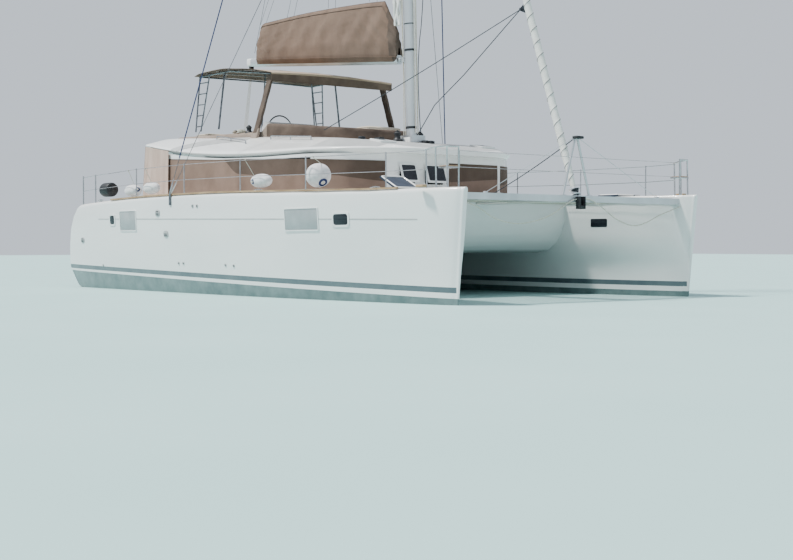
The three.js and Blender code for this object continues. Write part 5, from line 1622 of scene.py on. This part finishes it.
# %% Cockpit
COCKPIT_FLOOR, SEAT_TOP = 1.2505, 1.55
cockpit_base = joined("cockpit_benches",
                      [box_part(-5.35, -4.752, -1.3, 1.9, COCKPIT_FLOOR, SEAT_TOP, 0.02),
                       box_part(-4.752, -2.9, 1.5, 2.11, COCKPIT_FLOOR, SEAT_TOP, 0.02)],
                       shiny_white)
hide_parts("cockpit_seats")
for k, (y0, y1) in enumerate(((-1.28, -0.24), (-0.22, 0.82), (0.84, 1.88))):
    cushion(f"cockpit_aft_cushion_{k}", -5.33, -4.77, y0, y1, SEAT_TOP, 1.69)
for k, (x0, x1) in enumerate(((-4.73, -3.83), (-3.81, -2.92))):
    cushion(f"cockpit_side_cushion_{k}", x0, x1, 1.52, 2.09, SEAT_TOP, 1.69)
part("cockpit_table", [box_part(-4.5, -3.3, 0.3, 1.15, 1.92, 1.96, 0.012),
                               box_part(-4.5, -3.3, 0.3, 1.5, COCKPIT_FLOOR, 1.275, 0.006)], teak)
table_leg = box_part(-4.0, -3.8, 0.65, 0.8, 1.27, 1.925, 0.03)
part("cockpit_table_leg", [table_leg], alloy)
print("cockpit furnished")

# %% [markdown]
# The saloon has its own benches round a low table. The doors and handles of the galley come from
# one row of places.

# %% Saloon
DOORS_X = (-1.86, -1.08, -0.3, 0.48)
saloon_base = joined("saloon_benches",
                     [box_part(-1.9, 1.9, 1.45, 2.14, COCKPIT_FLOOR, SEAT_TOP, 0.02),
                      box_part(1.3, 2.48, -1.5, 1.45, COCKPIT_FLOOR, SEAT_TOP, 0.02),
                      box_part(-1.9, 1.29, -2.14, -1.5, COCKPIT_FLOOR, 2.06, 0.02)], shiny_white)
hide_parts("saloon_furniture")
for k, (x0, x1) in enumerate(((-1.88, -0.98), (-0.96, -0.02), (0.0, 0.94), (0.96, 1.88))):
    cushion(f"saloon_side_cushion_{k}", x0, x1, 1.47, 2.12, SEAT_TOP, 1.70)
for k, (y0, y1) in enumerate(((-1.48, -0.51), (-0.49, 0.48), (0.5, 1.43))):
    cushion(f"saloon_front_cushion_{k}", 1.32, 2.46, y0, y1, SEAT_TOP, 1.70)
doors = [box_part(x, x + 0.72, -1.504, -1.486, 1.34, 1.98, 0.004) for x in DOORS_X]
part("saloon_woodwork",
     doors + [box_part(-0.1, 1.1, 0.2, 0.9, 1.95, 1.985, 0.012),
              box_part(0.4, 0.6, 0.45, 0.6, 1.25, 1.955, 0.03),
              box_part(-2.24, 1.29, -1.48, 1.44, 1.2504, 1.256, 0.002)], teak)
worktop = box_part(-1.9, 1.3, -2.14, -1.48, 2.06, 2.1, 0.01)
part("galley_worktop", [worktop], roof_grey)
handles = [box_part(x + 0.3, x + 0.42, -1.486, -1.466, 1.9, 1.912, 0.004) for x in DOORS_X]
part("galley_handles", handles, steel)
print("saloon furnished, galley doors:", len(doors))

# %% [markdown]
# ## Aft side canvas
# A pale canvas hangs from the lip of the roof down to the side deck and closes the cockpit's side.
# It is a grid of points with soft upright folds that grow towards the free lower hem.

# %% Side canvas
for side, name in SIDES.items():
    outer, inner = [], []
    for t in np.linspace(0, 1, 20):
        rows = ([], [])
        for s in np.linspace(0, 1, 40):
            x = mix(-3.7, mix(-4.93, -4.78, t), s)
            fold = 0.012 * math.sin(s * 27 + 1) + 0.005 * math.sin(s * 61 + t * 4)
            fold *= 1 - 0.75 * t
            z = mix(2.14, roof_low(x) + 0.07, t)
            for row, lift in zip(rows, (0.002, -0.002)):
                row.append((x, side * (2.748 + fold + lift), z))
        outer.append(rows[0])
        inner.append(rows[1])
    canvas = piece("side_canvas_" + name, *slab(outer, inner), side_curtain, "boat", 60)
    rim = outer[0] + [row[-1] for row in outer[1:]]
    hem = tube("side_canvas_hem_" + name, rim, 0.006, side_curtain)
print("side canvas hung")

# %% [markdown]
# ## Running rigging
# Sheets, halyards and the lines that hold up the bag are plain taut tubes, with a little sag where
# nothing pulls on them. The first ones lead the free corner of the foresail down to the roof.

# %% Running rigging
MAST_STEP, MAST_LENGTH, MAST_RAKE = (1.81, 3.24), 17.36, 0.55


def mast_at(z):
    """The mast leans aft, so its x falls with the height."""
    return MAST_STEP[0] - (z - MAST_STEP[1]) * MAST_RAKE / MAST_LENGTH


def taut(ends, radius=0.006, sag=0.0, steps=10):
    """A straight run of rope between two points, with a little sag in the middle."""
    a, b = Vector(ends[0]), Vector(ends[1])
    line = [a.lerp(b, k / steps) - above(sag * math.sin(math.pi * k / steps))
            for k in range(steps + 1)]
    return bar(line, radius, 8)


CLEW = (5.19, -0.07, 5.57)
LEAD = (CLEW, (3.478, 0, 4.481), (2.569, 0, 3.945), (1.96, 0, 3.3))
sheets = [taut((CLEW, (0.85, -1.6, 3.45)), 0.0085, 0.03)]
sheets += [taut(ends, 0.0085) for ends in zip(LEAD, LEAD[1:])]
sheets.append(taut(((6.57, 0.01, 3.02), (4.12, 0.01, 1.96)), 0.009, 0.04))
part("foresail_sheets", sheets, dark_rope, "boat", 60)
clew_patch = skin([[(5.19, -0.072 + w, 5.545), (5.19, -0.072 + w, 5.60), (5.33, -0.03 + w, 5.74),
                    (5.37, -0.02 + w, 5.46)] for w in (0.0, 0.008)])
clew_profile = [(0.03, 0), (0.032, 0.01), (0.03, 0.024)]
clew_ring = turned((5.2, -0.085, 5.575), clew_profile, 16, (0, 1, 0))
part("foresail_clew", [clew_patch, clew_ring], dark_rope)
print("foresail sheets:", len(sheets))

# %% [markdown]
# Collars go round the mast, whose outline is found by rays. The halyards run down it, each with a
# slight wander, and a track for the sail stands on its aft side.

# %% Mast gear
MAST_TREE = tree_of(NODES["mast"])


def mast_ring(z, lift):
    """The outline of the mast at a height, a little outside its skin."""
    ring = []
    for a in np.linspace(0, 2 * math.pi, 29)[:-1]:
        way = Vector((math.cos(a), math.sin(a), 0))
        hit = MAST_TREE.ray_cast(Vector((mast_at(z), 0, z)) + way * 0.45, -way)[0]
        ring.append((hit if hit else Vector((mast_at(z), 0, z)) + way * 0.1) + way * lift)
    return ring


collars = [skin([mast_ring(z0, -0.004), mast_ring(z0, 0.008), mast_ring(z0 + high, 0.008),
                 mast_ring(z0 + high, -0.004)])
                 for z0, high in ((5.15, 0.045), (5.72, 0.02), (3.5, 0.05))]
part("mast_collars", collars, dark_plastic)
halyards = []
for k, (ahead, side, low_z, high_z) in enumerate((
        (-0.20, -0.035, 3.3, 16.2), (-0.215, 0.01, 3.35, 18.9), (-0.19, 0.04, 3.4, 12.4),
        (0.17, 0.05, 3.35, 16.3), (0.185, 0.02, 3.3, 12.9), (0.175, -0.01, 3.4, 18.0))):
    line = [(mast_at(z) + ahead + 0.006 * math.sin(z * 1.7 + k),
             side + 0.006 * math.cos(z * 1.3 + k * 2), z) for z in np.linspace(low_z, high_z, 40)]
    halyards.append(bar(line, 0.0085, 6))
part("halyards", halyards, pale_rope, "boat", 60)
slack = [(2.15, 0.1, 16.2), (2.12, 0.1, 9.0), (2.08, 0.1, 6.6), (2.02, 0.1, 5.75), (1.95, 0.1, 5.3),
         (1.91, 0.1, 4.6), (1.95, 0.12, 3.6), (1.9, 0.2, 3.4)]
tube("slack_halyard", [tuple(p) for p in curve_rows(slack, 6)], 0.008, dark_rope)
track = [[(mast_at(z) + x, y, z)
          for x, y in ((-0.165, -0.012), (-0.15, -0.02), (-0.12, -0.02), (-0.12, 0.02),
                       (-0.15, 0.02), (-0.165, 0.012))] for z in (4.9, 20.3)]
part("mast_track", [skin(track)], dark_plastic)
print("halyards:", len(halyards) + 1)

# %% [markdown]
# The next lines run from the fixed mast or deck to the boom. They are made with no body, and their
# placement is baked into their points.

# %% Lines from mast to boom
for side, name in SIDES.items():
    knot = Vector((-0.9, 0.11 * side, 11.0))
    legs = [taut(((1.36, 0.13 * side, 13.6), knot), 0.005)]
    for x, y, z in ((-3.9, 0.07, 6.40), (-2.72, 0.09, 6.42), (-1.05, 0.1, 6.42), (0.5, 0.11, 6.36)):
        legs.append(taut((knot, (x, y * side, z)), 0.004))
    jacks = joined("lazy_jacks_" + name, legs, dark_wire_and_shaded_frame, None, 60)
    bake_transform(jacks)
lift_line = joined("topping_lift", [taut(((1.1, 0, 20.3), (-4.27, 0, 5.755)), 0.005, 0, 24)],
                   dark_wire_and_shaded_frame, None, 60)
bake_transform(lift_line)
tackle = joined("mainsheet", [taut(((-4.73, y, 3.76), (-4.42, y * 0.6, 5.36)), 0.0045, 0, 24)
                              for y in (-0.045, -0.015, 0.015, 0.045)], pale_rope, None, 60)
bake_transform(tackle)

# %% [markdown]
# A block of the mainsheet is three cheeks on a pin. The lower ones stand on a bar behind the
# coaming, the upper ones hang under the boom, and a cap closes the boom's end.

# %% Mainsheet blocks and boom end
def pulley(x, z, tall):
    """A block with three cheeks on a pin."""
    low, high = z - tall / 2, z + tall / 2
    cheeks = [box_part(x - 0.035, x + 0.035, y - 0.008, y + 0.008, low, high, 0.007)
              for y in (-0.045, 0.0, 0.045)]
    return cheeks + [turned((x, -0.05, z), [(0.028, 0), (0.028, 0.1)], 16, (0, 1, 0))]


coaming_end = roof_top(-4.78, 0).z
part("mainsheet_blocks_low",
     pulley(-4.73, 3.70, 0.11)
     + [box_part(-4.76, -4.70, -0.03, 0.03, coaming_end - 0.02, 3.66, 0.008),
        box_part(-4.78, -4.68, -0.9, 0.9, coaming_end - 0.03, coaming_end + 0.05, 0.01)],
        dark_plastic)
part("mainsheet_blocks_high", pulley(-4.42, 5.40, 0.10), dark_plastic, BAG_BODY)
boom_tip = []
for x, grow in ((-4.512, 0.0), (-4.44, 0.004), (-4.36, 0.004), (-4.35, 0.0)):
    z = boom_at(x)
    boom_tip.append([(x, y, z + h) for y, h in outline(0.15 + grow * 2, 0.19 + grow * 2, 0.05)])
part("boom_end_cap", [skin(boom_tip)], shiny_white, BAG_BODY)
print("blocks and boom end made")

# %% [markdown]
# ## Shroud covers
# Plastic tubes are slid over the outer shrouds to save the sails. They are a good deal thicker than
# the wire, so from afar the shrouds read as dark lines. Each tube follows the CAD wire.

# %% Shroud covers
SPREADER_Z, PLATE_Y, PLATE_Z = 12.6, 3.93, 2.1
for side, name in SIDES.items():
    low = Vector((-1.582, PLATE_Y * side, PLATE_Z))
    middle = Vector((mast_at(SPREADER_Z) - 1.0, 1.782 * side, SPREADER_Z + 0.062))
    cover_line = [low.lerp(middle, t) for t in np.linspace(0.075, 0.985, 30)]
    tube("shroud_cover_" + name, cover_line, 0.0125, navy)
    screws = []
    lower_shroud = (Vector((-1.538, PLATE_Y * side, PLATE_Z)),
                    Vector((mast_at(12.48), 0.1 * side, 12.48)))
    for foot, head in ((low, middle), lower_shroud):
        way = (head - foot).normalized()
        screws.append(turned(foot,
                             [(0.01, 0), (0.011, 0.06), (0.017, 0.08), (0.017, 0.27), (0.011, 0.29),
                              (0.009, 0.36)], 12, way))
    part("turnbuckles_" + name, screws, steel, "boat", 60)
print("shroud covers made")

# %% [markdown]
# ## Deck fittings
# Cleats, treads and seats are a few rounded bars or thin plates that stand on the surface below
# them. Their height is read from the hull's table or from the list of stern steps.

# %% Deck fittings
def cleat(x, y, z):
    """Two feet and a horn bar along the boat."""
    way = Vector((1, 0, 0))
    at = Vector((x, y, z))
    parts = [bar([at + way * (0.045 * s) - above(0.01), at + way * (0.04 * s) + above(0.05)], 0.013,
                 8) for s in (-1, 1)]
    horn = [at + way * u + above(0.055 - abs(u) * 0.08) for u in np.linspace(-0.14, 0.14, 11)]
    parts.append(bar(horn, [0.006 + 0.009 * math.sin(math.pi * (k + 0.5) / 11) for k in range(11)],
                     10))
    return parts


TREAD_ENDS = [-6.9] + [x for _, x in STEPS[:-1]]
for side, name in SIDES.items():
    cleats = []
    for x in (5.0, 1.64, -5.1):
        cleats += cleat(x, (sheer(x, SHEER_Y) - 0.10) * side, sheer(x, SHEER_Z))
    part("cleats_" + name, cleats, steel, "boat", 60)
    treads = []
    for (z, x1), x0 in zip(STEPS, TREAD_ENDS):
        wide = (x1 - x0 - 0.08) / 4
        for k in range(4):
            a = x0 + 0.04 + wide * k
            treads.append(box_part(a, a + wide - 0.006, *sorted((2.62 * side, 3.42 * side)),
                                   z - 0.004, z + 0.012, 0.004))
    part("stern_treads_" + name, treads, teak)
    seat_top = sheer(6.5, SHEER_Z) + 0.355
    slats = [box_part(x, x + 0.07, *sorted((2.93 * side, 3.19 * side)), seat_top - 0.001,
                      seat_top + 0.018, 0.005) for x in (6.415, 6.415 + 0.078, 6.415 + 0.078 * 2)]
    part("bow_seat_" + name, slats, teak)
print("cleats, treads and bow seats made")

# %% [markdown]
# The rims ride on the two deck hatches. The port hatch is shut, so its box gives the outline. The
# starboard one stands open at rest, and its rim is turned with it about the hinge.

# %% Hatch rims
HINGE_X, HINGE_Z = 5.24, 2.03
HATCH_TURN = {-1: math.radians(26), 1: 0.0}
(x0, y0, _), (x1, y1, hatch_top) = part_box("deck_hatch_port")
x0, y0, x1, y1 = x0 + 0.02, y0 + 0.02, x1 - 0.02, y1 - 0.02
rim = rounded([(x0, y0), (x1, y0), (x1, y1), (x0, y1)], [0.04] * 4, 4)
for side, name in SIDES.items():
    stem = "deck_hatch_" + name
    turn = HATCH_TURN[side]
    rim_line = []
    for x, y in rim + [rim[0]]:
        u, v = x - HINGE_X, hatch_top - HINGE_Z
        rim_line.append((HINGE_X + u * math.cos(turn) + v * math.sin(turn), y * side,
                         HINGE_Z - u * math.sin(turn) + v * math.cos(turn)))
    part(stem + "_rim", [bar(rim_line, 0.018, 8)], shiny_white, stem, 60)

# %% [markdown]
# Small gear comes last: pads and a lashing at the bow, winches and a heap of rope on the coaming,
# and a closed canister on the stern rail.

# %% Small gear
pads = [box_part(6.15, 6.35, y, y + 0.1, 2.03, 2.075, 0.01) for y in (-3.5, 3.4)]
part("fairlead_pad", pads, teak)
lashing = [(6.6, y, 1.822 - 0.035 * math.sin(math.pi * (y + 2.47) / 1.75))
           for y in np.linspace(-2.47, -0.72, 24)]
tube("beam_lashing", lashing, 0.008, pale_rope)
strut_cap = box_part(6.59, 6.73, -0.09, 0.09, 3.0, 3.05, 0.012)
part("strut_cap", [strut_cap], dark_plastic)
side_winches = [winch_part((-1.76, y, 3.53), 1.0) for y in (-1.79, 1.79)]
part("coaming_winches", side_winches, dark_plastic)
heap = coil_line((-2.08, -1.79, 3.56), 0.085, 5, 0.07, 0.12, 0.7)
tube("coaming_rope", heap, 0.009, pale_rope)
canister = turned((-5.19, -3.62, 2.32),
                  [(0.1, 0), (0.15, 0.02), (0.165, 0.06), (0.165, 0.36), (0.15, 0.4), (0.1, 0.42)],
                  28, (1, 0, 0))
part("stern_rail_canister", [canister], dark_plastic, "boat", 40)
print("small gear made")

# %% [markdown]
# ## Floor, light and world
# The boat stands with its waterline in a plain pale floor, and everything lower is hidden by it.
# One broad sun comes from starboard, high and a little aft, so the near topsides are bright and
# the sides that face forward fall off. The pale world fills the shadows and gives metal and
# gelcoat something to mirror.

# %% Floor, sun and world
floor_paint = finish("floor_paint", (0.43, 0.61, 0.60), 0.75)
clouds(floor_paint, (0.42, 0.60, 0.59), (0.44, 0.62, 0.61), 3.0, 2.0)
floor = piece("floor", [(x, y, 0) for x, y in ((-90, -90), (90, -90), (90, 90), (-90, 90))],
              [(0, 1, 2, 3)], floor_paint, None)
floor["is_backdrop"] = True

sun_data = bpy.data.lights.new("sun", "SUN")
sun_data.energy = 4.2
sun_data.angle = 0.12
sun_data.color = (1.0, 0.975, 0.94)
sun = bpy.data.objects.new("sun", sun_data)
sun.rotation_mode = "QUATERNION"
sun.rotation_quaternion = Vector((0.26, 0.42, -0.87)).to_track_quat("-Z", "Y")
bpy.context.scene.collection.objects.link(sun)

world = bpy.data.worlds.new("world")
world.use_nodes = True
world.node_tree.nodes["Background"].inputs["Color"].default_value = (0.80, 0.87, 0.95, 1)
world.node_tree.nodes["Background"].inputs["Strength"].default_value = 0.75
bpy.context.scene.world = world
bpy.context.scene.view_settings.view_transform = "AgX"
bpy.context.scene.view_settings.look = "AgX - Medium High Contrast"
print("light and floor ready")

# %% [markdown]
# ## The size of the dressed boat
# The outside box of the dressed boat should stay the box of the CAD model.

# %% Size and finish
low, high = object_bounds()
